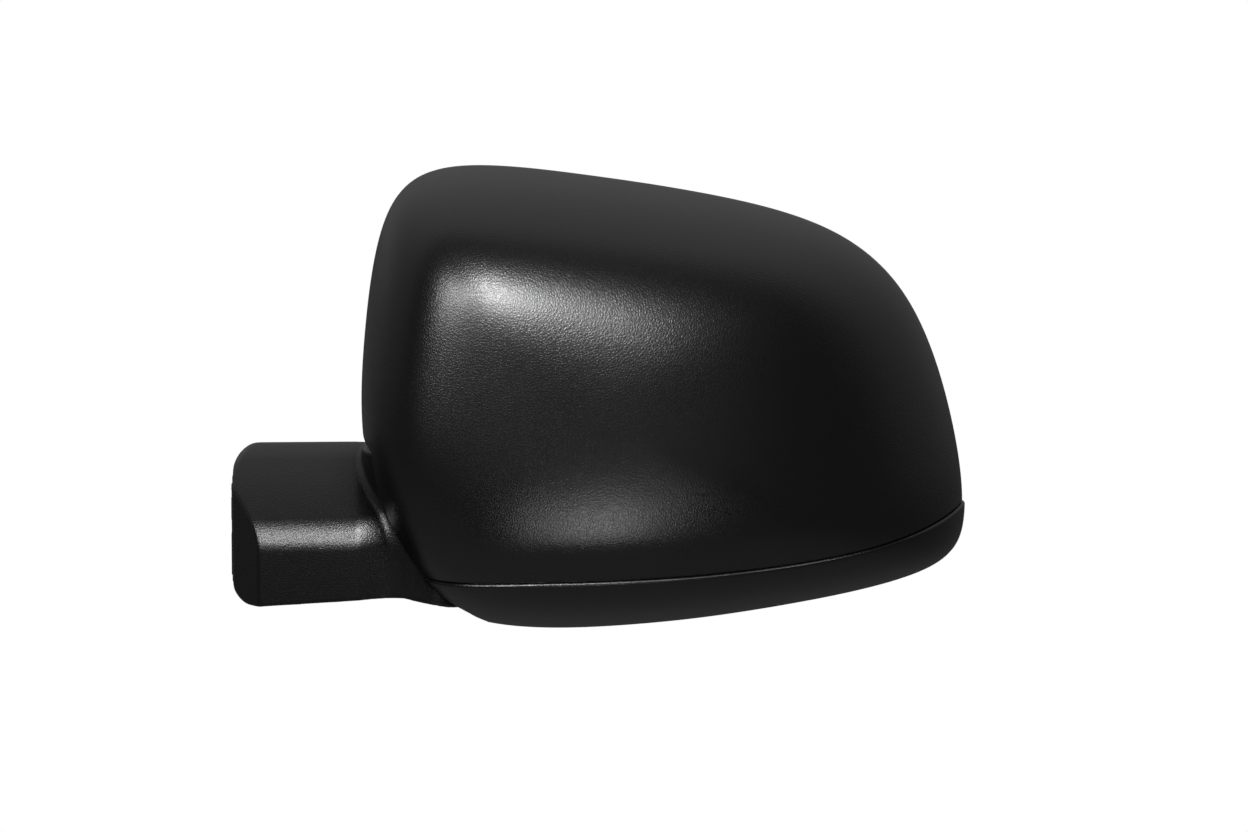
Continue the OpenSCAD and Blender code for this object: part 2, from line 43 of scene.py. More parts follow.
# The head's form: shares of its width and height, and how square the section is there.
headForm = dict(
    width=222, height=174, side=52, low=-39, front=55, back=52, tilt=0.10, wall=2.5,
    poleAcross=0.34, poleUp=0.50, blend=0.35, coverFrom=0.175,
    outline=[(0.15, -0.03, 3.2), (0.47, -0.02, 3.2), (0.69, 0.01, 3.0), (0.99, 0.08, 2.8),
             (1.04, 0.18, 2.6), (1.02, 0.41, 2.5), (0.95, 0.70, 2.5), (0.81, 0.86, 2.6),
             (0.58, 0.93, 2.8), (0.37, 0.97, 3.0), (0.12, 1.01, 3.4), (0.02, 0.92, 4.2),
             (-0.01, 0.63, 5.0), (-0.02, 0.37, 5.5), (0.04, 0.15, 4.5)],
    rim=[(0.28, 0.00), (0.48, 0.00), (0.69, 0.03), (0.965, 0.10), (1.01, 0.19),
         (0.99, 0.41), (0.925, 0.69), (0.79, 0.84), (0.575, 0.905), (0.37, 0.945),
         (0.14, 0.98), (0.05, 0.895), (0.03, 0.63), (0.11, 0.36), (0.20, 0.12)])
# The joint of the two covers, and the crease over it, which fades out towards both sides.
seamForm = dict(height=-17, rise=19, run=0.72, riseEarly=12, gap=0.5, proud=1.0,
                creaseUp=14, creaseRise=0.03, creaseSlope=0.24, creaseSoft=2, band=13,
                fadeIn=18, fadeInOver=45, fadeOut=20, fadeOutOver=65)
armForm = dict(start=0.3, reach=70, knuckle=23, front=25, back=18, top=30.5, edge=-0.3, wall=2.5,
               under=[(0.3, -28), (52, -25.2), (64, -25.2), (80, -29), (95, -31)])
# The room that the arm needs in the head; side, far and bottom lie outside the head.
foldForm = dict(turn=65, room=2.5, top=31.5, soft=0.8, side=-60, far=110, bottom=-90, arcFrom=-88, arcSteps=28)
foldSin, foldCos = math.sin(math.radians(foldForm["turn"])), math.cos(math.radians(foldForm["turn"]))
poleX = headForm["side"] + headForm["poleAcross"] * headForm["width"]
poleZ = headForm["low"] + headForm["poleUp"] * headForm["height"]


class Field:
    # a node socket that takes plain arithmetic, for long formulas
    def __init__(self, tree, socket):
        self.tree, self.socket = tree, socket

    def act(self, kind, *others):
        n = node(self.tree, "ShaderNodeMath", dict(enumerate((self, *others))), operation=kind)
        return Field(self.tree, n.outputs[0])

    def __add__(self, o): return self.act("ADD", o)
    def __radd__(self, o): return self.act("ADD", o)
    def __sub__(self, o): return self.act("SUBTRACT", o)
    def __rsub__(self, o): return self.act("MULTIPLY", -1.0).act("ADD", o)
    def __mul__(self, o): return self.act("MULTIPLY", o)
    def __rmul__(self, o): return self.act("MULTIPLY", o)
    def __truediv__(self, o): return self.act("DIVIDE", o)
    def __pow__(self, o): return self.act("POWER", o)

    def ease(self):
        w = self.act("MAXIMUM", 0.0).act("MINIMUM", 1.0)
        return w * w * (3.0 - 2.0 * w)

    def ramp(self, soft):
        return (self + (self * self + soft * soft).act("SQRT")) * 0.5


def put(tree, socket, value):
    # links what another node gives, and sets a plain value
    if isinstance(value, Field):
        value = value.socket
    if isinstance(value, bpy.types.NodeSocket):
        tree.links.new(value, socket)
    else:
        socket.default_value = value


def node(tree, kind, inputs=None, **settings):
    # a new node: first its settings, then its inputs by name or number
    n = tree.nodes.new(kind)
    for label, value in settings.items():
        setattr(n, label, value)
    for label, value in (inputs or {}).items():
        put(tree, n.inputs[label], value)
    return n


def parts(tree, vector):
    n = node(tree, "ShaderNodeSeparateXYZ", {0: vector})
    return [Field(tree, n.outputs[k]) for k in range(3)]


def moved(tree, geometry, x, y, z, offset=(0, 0, 0)):
    # every point set to its new place
    place = node(tree, "ShaderNodeCombineXYZ", {0: x, 1: y, 2: z}).outputs[0]
    return node(tree, "GeometryNodeSetPosition", {
        "Geometry": geometry, "Position": place, "Offset": offset}).outputs["Geometry"]


def pointPlace(tree):
    return tree.nodes.new("GeometryNodeInputPosition").outputs[0]


def joined(tree, *geometries):
    n = tree.nodes.new("GeometryNodeJoinGeometry")
    for geometry in geometries:
        tree.links.new(geometry, n.inputs["Geometry"])
    return n.outputs["Geometry"]


def newTree(name, inputs, outputs=(("Geometry", "Geometry"),), kind="GeometryNodeTree"):
    # a node tree with named sockets; given reads one of its inputs
    tree = bpy.data.node_groups.new(name, kind)
    ids = {}
    for label, sort in inputs:
        socket = tree.interface.new_socket(name=label, in_out="INPUT", socket_type="NodeSocket" + sort)
        ids[label] = socket.identifier
    for label, sort in outputs:
        tree.interface.new_socket(name=label, in_out="OUTPUT", socket_type="NodeSocket" + sort)
    group, out = tree.nodes.new("NodeGroupInput"), tree.nodes.new("NodeGroupOutput")

    def given(label):
        return Field(tree, group.outputs[label])

    return tree, ids, given, out


def ended(tree, geometry, given, out):
    # real mesh with its material, as the export needs
    real = node(tree, "GeometryNodeRealizeInstances", {"Geometry": geometry}).outputs["Geometry"]
    finish = node(tree, "GeometryNodeSetMaterial", {"Geometry": real, "Material": given("Finish")})
    put(tree, out.inputs["Geometry"], finish.outputs["Geometry"])


def linked(name, data):
    obj = bpy.data.objects.new(name, data)
    bpy.context.collection.objects.link(obj)
    return obj


def newMesh(name, points, faces=()):
    mesh = bpy.data.meshes.new(name)
    mesh.from_pydata(points, [], faces)
    return mesh


def placed(name, mesh):
    mesh.update()
    mesh.shade_smooth()
    return linked(name, mesh)


def grown(name, tree, ids, values):
    # runs a node tree on an empty mesh and keeps the result as a plain mesh object
    holder = linked(name + "Holder", bpy.data.meshes.new(name + "Holder"))
    m = holder.modifiers.new("grow", "NODES")
    m.node_group = tree
    for label, value in values.items():
        m[ids[label]] = value
    shown = holder.evaluated_get(bpy.context.evaluated_depsgraph_get())
    mesh = bpy.data.meshes.new_from_object(shown)
    bpy.data.objects.remove(holder)
    mesh.name = name
    return linked(name, mesh)


# scales are in waves a metre; warp is how far the islands' pattern is pulled about, in metres
grainForm = dict(warpScale=420, warp=0.0007, island=0.28, islandShare=0.7, fineScale=2600, fineDetail=3,
                 fineShare=0.45, slowScale=26, slowDetail=4)


def grainGroup():
    # moulded leather grain: rounded islands between fine valleys, over a slower drift
    f = grainForm
    tree, _, given, out = newTree(
        "mouldGrain", [("Vector", "Vector"), ("Scale", "Float"), ("Drift", "Float")],
        [("Height", "Float"), ("Drift", "Float")], "ShaderNodeTree")
    warp = node(tree, "ShaderNodeTexNoise", {"Vector": given("Vector"), "Scale": f["warpScale"]})
    spread = node(tree, "ShaderNodeVectorMath", {
        0: warp.outputs["Color"], 1: (f["warp"],) * 3, 2: given("Vector")}, operation="MULTIPLY_ADD")
    cells = node(tree, "ShaderNodeTexVoronoi", {"Vector": spread.outputs[0], "Scale": given("Scale")},
                 feature="DISTANCE_TO_EDGE")
    domed = node(tree, "ShaderNodeMapRange", {"Value": cells.outputs["Distance"], "From Max": f["island"]},
                 interpolation_type="SMOOTHSTEP")
    fine = node(tree, "ShaderNodeTexNoise", {
        "Vector": given("Vector"), "Scale": f["fineScale"], "Detail": f["fineDetail"]})
    height = Field(tree, domed.outputs[0]) * f["islandShare"] + Field(tree, fine.outputs["Fac"]) * f["fineShare"]
    put(tree, out.inputs["Height"], height)
    slow = node(tree, "ShaderNodeTexNoise", {
        "Vector": given("Vector"), "Scale": f["slowScale"], "Detail": f["slowDetail"]})
    put(tree, out.inputs["Drift"], (Field(tree, slow.outputs["Fac"]) - 0.5) * given("Drift") + 0.5)
    return tree


mouldGrain = grainGroup()


def newMaterial(name, plain):
    # plain holds what is the same all over the surface
    m = bpy.data.materials.new(name)
    m.use_nodes = True
    tree = m.node_tree
    shader = tree.nodes["Principled BSDF"]
    for label, value in plain.items():
        shader.inputs[label].default_value = value
    return m, tree, shader, tree.nodes.new("ShaderNodeTexCoord").outputs["Object"]


def blended(tree, share, low, high):
    # the colour between two
    return node(tree, "ShaderNodeMix", {0: share, 6: (*low, 1), 7: (*high, 1)}, data_type="RGBA").outputs[2]


def varied(tree, shader, look, height, drift, share):
    # bump, roughness and colour, each changing over the surface
    bump = node(tree, "ShaderNodeBump", {
        "Strength": look["strength"], "Distance": look["depth"], "Height": height})
    put(tree, shader.inputs["Normal"], bump.outputs[0])
    put(tree, shader.inputs["Roughness"], drift * look["roughDrift"] + (look["rough"] - look["roughDrift"] / 2))
    put(tree, shader.inputs["Base Color"], blended(tree, share, look["low"], look["colour"]))


def mouldedMaterial(name, look):
    m, tree, shader, where = newMaterial(name, {"Specular IOR Level": look["shine"], "IOR": 1.5})
    grain = tree.nodes.new("ShaderNodeGroup")
    grain.node_tree = mouldGrain
    for label, value in (("Vector", where), ("Scale", look["grain"]), ("Drift", look["drift"])):
        put(tree, grain.inputs[label], value)
    height = grain.outputs["Height"]
    varied(tree, shader, look, height, Field(tree, grain.outputs["Drift"]), height)
    return m


def metalMaterial(name, look):
    m, tree, shader, where = newMaterial(name, {"Metallic": 1.0})
    spots = node(tree, "ShaderNodeTexNoise", {"Vector": where, "Scale": look["scale"], "Detail": look["detail"]})
    slow = node(tree, "ShaderNodeTexNoise", {"Vector": where, "Scale": look["slowScale"]}).outputs["Fac"]
    varied(tree, shader, look, spots.outputs["Fac"], Field(tree, slow), slow)
    return m


def silveredMaterial(name, look):
    # a sharp reflection with a slow change of tint
    m, tree, shader, where = newMaterial(name, {"Metallic": 1.0, "Roughness": 0.0})
    haze = node(tree, "ShaderNodeTexNoise", {"Vector": where, "Scale": look["scale"], "Detail": look["detail"]})
    put(tree, shader.inputs["Base Color"], blended(tree, haze.outputs["Fac"], look["low"], look["colour"]))
    return m


grainedLook = dict(colour=(0.0020, 0.0021, 0.0023), low=(0.0012, 0.0012, 0.0013), shine=0.65, rough=0.305,
                   roughDrift=0.12, grain=950, strength=0.32, depth=0.00012, drift=0.5)
plainLook = dict(colour=(0.011, 0.011, 0.0115), low=(0.008, 0.008, 0.008), shine=0.45, rough=0.50,
                 roughDrift=0.12, grain=2400, strength=0.2, depth=0.00005, drift=0.8)
nylonLook = dict(colour=(0.62, 0.60, 0.53), low=(0.55, 0.53, 0.46), shine=0.5, rough=0.45,
                 roughDrift=0.12, grain=1500, strength=0.15, depth=0.00005, drift=0.8)
rubberLook = dict(colour=(0.012, 0.012, 0.012), low=(0.008, 0.008, 0.008), shine=0.3, rough=0.75,
                  roughDrift=0.12, grain=1800, strength=0.4, depth=0.00008, drift=0.9)
foamLook = dict(colour=(0.045, 0.045, 0.047), low=(0.01, 0.01, 0.01), shine=0.2, rough=0.9,
                roughDrift=0.12, grain=700, strength=0.9, depth=0.0002, drift=0.9)
castLook = dict(colour=(0.62, 0.63, 0.64), low=(0.45, 0.46, 0.47), rough=0.45, roughDrift=0.2,
                scale=1400, detail=6, slowScale=60, strength=0.6, depth=0.00012)
steelLook = dict(colour=(0.66, 0.66, 0.64), low=(0.55, 0.54, 0.50), rough=0.28, roughDrift=0.2,
                 scale=2500, detail=6, slowScale=60, strength=0.15, depth=0.00003)
silverLook = dict(colour=(0.82, 0.85, 0.86), low=(0.74, 0.79, 0.81), scale=14, detail=5)
materials = dict(
    grained_plastic=mouldedMaterial("grainedPlastic", grainedLook),
    plain_plastic=mouldedMaterial("plainPlastic", plainLook),
    nylon=mouldedMaterial("nylon", nylonLook),
    rubber=mouldedMaterial("rubber", rubberLook),
    foam=mouldedMaterial("foam", foamLook),
    cast_alloy=metalMaterial("castAlloy", castLook),
    steel=metalMaterial("zincPlatedSteel", steelLook),
    mirror=silveredMaterial("silveredGlass", silverLook))
print("finishes:", len(materials))


def outlineCurve(name, points, steps):
    # a closed cubic curve; its radius carries the squareness
    f = headForm
    curve = bpy.data.curves.new(name, "CURVE")
    curve.dimensions = "3D"
    s = curve.splines.new("NURBS")
    s.points.add(len(points) - 1)
    for p, (across, up, *square) in zip(s.points, points):
        p.co = ((f["side"] + across * f["width"]) * mm, 0, (f["low"] + up * f["height"]) * mm, 1)
        p.radius = square[0] if square else 1
    s.order_u = 4
    s.use_cyclic_u = True
    s.resolution_u = steps
    return linked(name, curve)


# perPoint: faces for each point of the outline; down: faces from the covers' edge to the front
skinGrid = dict(perPoint=16, down=60, weld=0.002)


def skinTree():
    # the head's skin: a grid led from the rim round to the front by the squareness of its section
    tree, ids, given, out = newTree("headSkin", [
        ("Outline", "Object"), ("Rim", "Object"), ("Around", "Int"), ("Down", "Int"),
        ("Start Share", "Float"), ("Front", "Float"), ("Back", "Float"), ("Tilt", "Float"),
        ("Blend", "Float"), ("Crease Slope", "Float"), ("Finish", "Material")])

    def read(label):
        curve = node(tree, "GeometryNodeObjectInfo", {"Object": given(label)}).outputs["Geometry"]
        return node(tree, "GeometryNodeResampleCurve", {"Curve": curve}, mode="EVALUATED").outputs["Curve"]

    def sampled(curve, kind, value):
        return node(tree, "GeometryNodeSampleIndex", {"Geometry": curve, "Value": value, "Index": index},
                    data_type=kind, domain="POINT").outputs["Value"]

    around = given("Around")
    grid = node(tree, "GeometryNodeMeshGrid", {
        "Size X": 1, "Size Y": 1, "Vertices X": around + 1, "Vertices Y": given("Down") + 1}).outputs["Mesh"]
    place = pointPlace(tree)
    radius = tree.nodes.new("GeometryNodeInputRadius").outputs[0]
    across, down = parts(tree, place)[:2]
    index = ((across + 0.5) * around + 0.5).act("FLOOR").act("MODULO", around)
    outline, rim = read("Outline"), read("Rim")
    outX, outZ = parts(tree, sampled(outline, "FLOAT_VECTOR", place))[::2]
    rimX, rimZ = parts(tree, sampled(rim, "FLOAT_VECTOR", place))[::2]
    square = Field(tree, sampled(outline, "FLOAT", radius))

    start = given("Start Share")
    first = start.act("ARCTAN2", (1.0 - start ** square) ** (square ** -1.0))
    angle = first + (math.pi / 2 - first) * (down + 0.5)
    c = angle.act("COSINE").act("MAXIMUM", 0.0)
    s = angle.act("SINE")
    k = (c ** square + s ** square) ** (square ** -1.0 * -1.0)
    reach, depth = c * k, s * k
    w = (depth / given("Blend")).ease()
    x = (rimX + w * (outX - rimX) - poleX * mm) * reach + poleX * mm
    z = (rimZ + w * (outZ - rimZ) - poleZ * mm) * reach + poleZ * mm
    # the crease: the band under it turns in
    f, soft = seamForm, seamForm["creaseSoft"] * mm
    left, right = headForm["side"] + f["fadeIn"], headForm["side"] + headForm["width"] - f["fadeOut"]
    h = (f["height"] + f["creaseUp"]) * mm + f["creaseRise"] * (x - poleX * mm) - z
    shown = ((x - left * mm) / (f["fadeInOver"] * mm)).ease() * ((right * mm - x) / (f["fadeOutOver"] * mm)).ease()
    tuck = given("Crease Slope") * shown * (h.ramp(soft) - (h - f["band"] * mm).ramp(soft))
    front = given("Tilt") * (x - poleX * mm) - given("Front") + tuck
    y = given("Back") * (1.0 - depth) + front * depth
    kept = node(tree, "GeometryNodeStoreNamedAttribute", {
        "Geometry": grid, "Name": "depthShare", "Value": depth}, data_type="FLOAT", domain="POINT")
    skin = moved(tree, kept.outputs["Geometry"], x, y, z)
    weld = node(tree, "GeometryNodeMergeByDistance", {"Geometry": skin, "Distance": skinGrid["weld"] * mm})
    ended(tree, weld.outputs["Geometry"], given, out)
    return tree, ids


def makeSkin():
    f = headForm
    curves = [outlineCurve(name, f[name], skinGrid["perPoint"]) for name in ("outline", "rim")]
    bpy.context.view_layer.update()
    tree, ids = skinTree()
    skin = grown("headSkin", tree, ids, {
        "Outline": curves[0], "Rim": curves[1], "Around": skinGrid["perPoint"] * len(f["outline"]),
        "Down": skinGrid["down"], "Start Share": f["coverFrom"], "Front": f["front"] * mm,
        "Back": f["back"] * mm, "Tilt": f["tilt"], "Blend": f["blend"],
        "Crease Slope": seamForm["creaseSlope"], "Finish": materials["grained_plastic"]})
    mesh = skin.data
    for o in (skin, *curves):
        bpy.data.objects.remove(o)
    return mesh


skinMesh = makeSkin()
print("head skin:", len(skinMesh.vertices), "points")


def seamAt(x):
    # the height of the joint between the covers
    f = seamForm
    return f["height"] + f["rise"] * max(0.0, (x - poleX + f["riseEarly"]) / (f["run"] * headForm["width"])) ** 3


def softMax(a, b, r):
    return min(max(a, b), -r) + math.hypot(max(a + r, 0), max(b + r, 0))


def roomCorners(turn):
    # the room's outline from above: along the front, round the knuckle by turn, and out to the back
    f, reach = foldForm, armForm["reach"]
    return [(f["side"], -armForm["front"] - f["room"]), (reach, -armForm["front"] - f["room"]), *turn,
            (reach + foldBack * foldSin - f["far"] * foldCos, foldBack * foldCos + f["far"] * foldSin),
            (f["side"], f["far"])]


foldBack = armForm["back"] + foldForm["room"]
roomEdges = roomCorners([(armForm["reach"] + foldBack * foldSin, foldBack * foldCos)])


def foldRoom(p):
    # below zero inside the room that the arm takes in the head from straight out to folded back
    f, a = foldForm, armForm
    wedge = -1e9
    for (x0, y0), (x1, y1) in zip(roomEdges, roomEdges[1:] + roomEdges[:1]):
        ux, uy = x1 - x0, y1 - y0
        d = ((p[0] - x0) * uy - (p[1] - y0) * ux) / math.hypot(ux, uy)
        wedge = max(wedge, d)
    ring = math.hypot(p[0] - a["reach"], p[1]) - a["knuckle"] - f["room"]
    return softMax(min(wedge, ring), p[2] - f["top"], f["soft"])


nearShare = 0.3  # a point this near the line, as a share of its edge, is drawn onto it


def trim(bm, level):
    # keeps what lies where level is below zero, with a clean edge along its zero line
    normal = bm.verts.layers.float_vector["way"]
    value = {v: level(v.co / mm) for v in bm.verts}
    nearest = {}
    for e in bm.edges:
        a, b = e.verts
        if value[a] * value[b] < 0:
            t = value[a] / (value[a] - value[b])
            for v, o, share in ((a, b, t), (b, a, 1 - t)):
                if share < nearShare and share < nearest.get(v, (None, 1))[1]:
                    nearest[v] = (o, share)
    taken = set()
    for v, (o, share) in nearest.items():
        if o in taken:
            continue
        v.co = v.co.lerp(o.co, share)
        v[normal] = v[normal].lerp(o[normal], share)
        value[v] = 0.0
        taken.add(v)
    for e in list(bm.edges):
        a, b = e.verts
        if value[a] * value[b] < 0:
            t = value[a] / (value[a] - value[b])
            way = a[normal].lerp(b[normal], t)
            new = bmesh.utils.edge_split(e, a, t)[1]
            new[normal] = way
            value[new] = 0.0
    for f in list(bm.faces):
        signs = [value[v] for v in f.verts]
        if min(signs) < 0 < max(signs):
            on = [v for v in f.verts if value[v] == 0.0]
            if len(on) == 2:
                bmesh.utils.face_split(f, on[0], on[1])
    gone = [f for f in bm.faces if max(value[v] for v in f.verts) > 0
            or all(value[v] == 0.0 for v in f.verts) and level(f.calc_center_median() / mm) > 0]
    bmesh.ops.delete(bm, geom=gone, context="FACES")


def edgeLoops(bm):
    # closed rows of edge points, each with the skin on its left
    after = {}
    for e in bm.edges:
        if len(e.link_loops) == 1:
            loop = e.link_loops[0]
            after[loop.vert] = loop.link_loop_next.vert
    rows = []
    while after:
        first = next(iter(after))
        row = [first]
        v = after.pop(first)
        while v is not first:
            row.append(v)
            v = after.pop(v)
        rows.append(row)
    return rows


def walled(name, bm, wall, edgeRound, steps=4):
    # gives the trimmed skin its wall and rounds its edges outward over the trimmed line
    normal = bm.verts.layers.float_vector["way"]
    bm.normal_update()
    bmesh.ops.delete(bm, geom=[v for v in bm.verts if not v.link_faces], context="VERTS")
    bm.verts.index_update()
    points = [v.co.copy() for v in bm.verts]
    ways = [v[normal].normalized() for v in bm.verts]
    n = len(points)
    faces = [[v.index for v in f.verts] for f in bm.faces]
    verts = points + [p - w * wall for p, w in zip(points, ways)]
    faces += [[i + n for i in reversed(f)] for f in faces]
    for row in edgeLoops(bm):
        m = len(row)
        ids = [v.index for v in row]
        out = []
        for k in range(m):
            along = (points[ids[(k + 1) % m]] - points[ids[k - 1]]).normalized()
            out.append(along.cross(ways[ids[k]]).normalized())
        for smoothing in range(3):
            out = [(out[k - 1] + out[k] * 2 + out[(k + 1) % m]).normalized() for k in range(m)]
        last = ids
        for s in range(1, steps + 2):
            a = math.pi / 2 * min(s, steps) / steps
            sink = edgeRound * (1 - math.cos(a)) if s <= steps else wall
            at = len(verts)
            for k in range(m):
                verts.append(points[ids[k]] + out[k] * (edgeRound * math.sin(a)) - ways[ids[k]] * sink)
            new = list(range(at, at + m))
            faces += [[last[(k + 1) % m], last[k], new[k], new[(k + 1) % m]] for k in range(m)]
            last = new
        inner = [i + n for i in ids]
        faces += [[last[(k + 1) % m], last[k], inner[k], inner[(k + 1) % m]] for k in range(m)]
    mesh = newMesh(name, [tuple(v) for v in verts], faces)
    mesh.validate()
    return placed(name, mesh)


def headPart(name, levels, form, proud=0.0):
    # a cover: the skin trimmed by each level, standing proud of the rim by so much, with its wall
    bm = bmesh.new()
    bm.from_mesh(skinMesh)
    bm.normal_update()
    if sum((v.normal.y < 0) for v in bm.verts) < len(bm.verts) / 2:
        bmesh.ops.reverse_faces(bm, faces=bm.faces[:])
        bm.normal_update()
    share = bm.verts.layers.float["depthShare"]
    way = bm.verts.layers.float_vector.new("way")
    for v in bm.verts:
        v[way] = v.normal
    if proud:
        for v in bm.verts:
            w = min(1.0, max(0.0, (v[share] - headForm["coverFrom"]) / form["proudOver"]))
            v.co += v[way] * (proud * mm * w * w * (3 - 2 * w))
    for level in levels:
        trim(bm, level)
    obj = walled(name, bm, headForm["wall"] * mm, form["edgeRound"] * mm)
    bm.free()
    return obj


# behind the arm the cap is open: between two sides, from so far back, up to so far over the joint
capForm = dict(edgeRound=0.7, windowFrom=60, windowTo=94, windowBack=10, windowUp=24)
lowerForm = dict(edgeRound=0.9, proudOver=0.12)


def capWindow(p):
    f = capForm
    return min(p[0] - f["windowFrom"], f["windowTo"] - p[0], p[1] - f["windowBack"],
               seamForm["height"] + f["windowUp"] - p[2])


coverCap = headPart("coverCapSkin", [
    lambda p: seamAt(p[0]) + capForm["edgeRound"] - p[2],
    lambda p: capForm["edgeRound"] - foldRoom(p), capWindow], capForm)
lowerCover = headPart("lowerCoverSkin", [
    lambda p: p[2] - seamAt(p[0]) + seamForm["gap"] + lowerForm["edgeRound"],
    lambda p: lowerForm["edgeRound"] - foldRoom(p)], lowerForm, seamForm["proud"])
print("covers:", len(coverCap.data.polygons), len(lowerCover.data.polygons), "faces")
# where the two screws hold the lower cover: across, depth and height of the outer face
lowerScrewSpots = [(148.85, 1.95, -38.96), (204.87, 4.77, -32.69)]
lowerSeat = dict(hole=1.8, head=3.3, sink=1.3, seatLow=-9, holeLow=-8, holeHigh=9, sides=40, sharp=50,
                 screwLong=10.5)


def cubicRing(points, steps):
    # the same closed cubic as the outline curve, as an array
    p = np.array(points, float)
    n = len(p)
    t = np.arange(n * steps) / steps
    i = np.floor(t).astype(int)
    f = (t - i)[:, None]
    return ((1 - f) ** 3 * p[i - 1] + (3 * f ** 3 - 6 * f ** 2 + 4) * p[i % n]
            + (-3 * f ** 3 + 3 * f ** 2 + 3 * f + 1) * p[(i + 1) % n] + f ** 3 * p[(i + 2) % n]) / 6


def inMillimetres(ring):
    size = np.array([headForm["width"], headForm["height"]])
    return np.array([headForm["side"], headForm["low"]]) + ring[:, :2] * size


outlineRing = cubicRing(headForm["outline"], skinGrid["perPoint"])
rimRing = inMillimetres(cubicRing(headForm["rim"], skinGrid["perPoint"]))
outRing = inMillimetres(outlineRing)
squareRing = outlineRing[:, 2]
poleAt = np.array([poleX, poleZ])


def drawnIn(ring, off):
    # the flat ring moved inwards by off
    d = np.roll(ring, -1, axis=0) - np.roll(ring, 1, axis=0)
    d /= np.linalg.norm(d, axis=1)[:, None]
    return ring + off * np.column_stack([-d[:, 1], d[:, 0]])


def turnAt(share):
    # the angles at which the section has this share of its depth
    return np.arctan2(share, (1 - share ** squareRing) ** (1 / squareRing))


def headRing(angle):
    # the ring on the skin at an angle of its section, from the rim to the front
    c, s = np.cos(angle), np.sin(angle)
    k = (c ** squareRing + s ** squareRing) ** (-1 / squareRing)
    w = np.clip(s * k / headForm["blend"], 0, 1)
    w = w * w * (3 - 2 * w)
    edge = rimRing * (1 - w[:, None]) + outRing * w[:, None]
    q = poleAt + (c * k)[:, None] * (edge - poleAt)
    front = -headForm["front"] + headForm["tilt"] * (q[:, 0] - poleX)
    return np.column_stack([q[:, 0], headForm["back"] * (1 - s * k) + front * s * k, q[:, 1]])


def headRingIn(angle, off, step=0.01):
    # the same ring, moved inwards by off
    a, b = headRing(angle - step), headRing(angle + step)
    here = headRing(angle)
    n = np.cross(b - a, np.roll(here, -1, axis=0) - np.roll(here, 1, axis=0))
    return here + off * n / np.linalg.norm(n, axis=1)[:, None]


def flatRing(off, y):
    q = drawnIn(rimRing, off)
    return np.column_stack([q[:, 0], np.full(len(q), float(y)), q[:, 1]])


def turnedOut(mesh, fillHoles=False):
    bm = bmesh.new()
    bm.from_mesh(mesh)
    if fillHoles:
        bmesh.ops.holes_fill(bm, edges=[e for e in bm.edges if e.is_boundary], sides=0)
    bmesh.ops.recalc_face_normals(bm, faces=bm.faces[:])
    bm.to_mesh(mesh)
    bm.free()


def ringBody(name, rows, closed=True):
    # a mesh from rows of points, each row a closed ring
    n, m = len(rows[0]), len(rows)
    faces = []
    for j in range(m if closed else m - 1):
        a, b = j * n, (j + 1) % m * n
        faces += [[a + i, a + (i + 1) % n, b + (i + 1) % n, b + i] for i in range(n)]
    mesh = newMesh(name, (np.concatenate(rows) * mm).tolist(), faces)
    turnedOut(mesh)
    return placed(name, mesh)


def extruded(name, corners, low, high):
    n = len(corners)
    verts = [(x * mm, y * mm, z * mm) for z in (low, high) for x, y in corners]
    faces = [list(range(n))[::-1], list(range(n, 2 * n))]
    faces += [[i, (i + 1) % n, (i + 1) % n + n, i + n] for i in range(n)]
    return linked(name, newMesh(name, verts, faces))


def settled(obj):
    # keeps the modifiers' result as the plain mesh
    shown = obj.evaluated_get(bpy.context.evaluated_depsgraph_get())
    mesh = bpy.data.meshes.new_from_object(shown)
    obj.modifiers.clear()
    obj.data = mesh


def cutAway(obj, cutter):
    cut = obj.modifiers.new("cut", "BOOLEAN")
    cut.operation = "DIFFERENCE"
    cut.solver = "EXACT"
    cut.object = cutter
    settled(obj)
    bpy.data.objects.remove(cutter)


def roomCutter():
    # the front and right of the room is the circle round the knuckle, the rest the swept wedge
    f, a = foldForm, armForm
    r = a["knuckle"] + f["room"]
    turns = np.linspace(math.radians(f["arcFrom"]), math.radians(90 - f["turn"]), f["arcSteps"])
    corners = roomCorners([(a["reach"] + r * math.cos(t), r * math.sin(t)) for t in turns])
    return extruded("roomCutter", corners, f["bottom"], f["top"])


def drill(obj):
    # the screws' holes, each with a seat for the head
    f = lowerSeat
    turns = [2 * math.pi * k / f["sides"] for k in range(f["sides"])]
    for x, y, z in lowerScrewSpots:
        for radius, low, high in ((f["head"], f["seatLow"], f["sink"]), (f["hole"], f["holeLow"], f["holeHigh"])):
            ring = [(x + radius * math.cos(a), y + radius * math.sin(a)) for a in turns]
            cutAway(obj, extruded("drill", ring, z + low, z + high))
    obj.data.set_sharp_from_angle(angle=math.radians(f["sharp"]))


drill(lowerCover)

# in mm, but coverShy is a share of the depth and lapTurn is degrees
rimForm = dict(wallRows=10, beadRows=8, wellRows=8, beadWide=3.8, beadUp=1.0, wellDeep=28, wellOff=6.5,
               wellCurve=0.8, wellWall=0.5, backOuter=4.6, frontOuter=2.4, behindBead=3, edgeRound=0.45, edgeRows=4,
               edgeRadius=55, coverShy=0.006, lapTurn=5, lapUnder=1.6, lapTop=0.55, lapFoot=0.3)


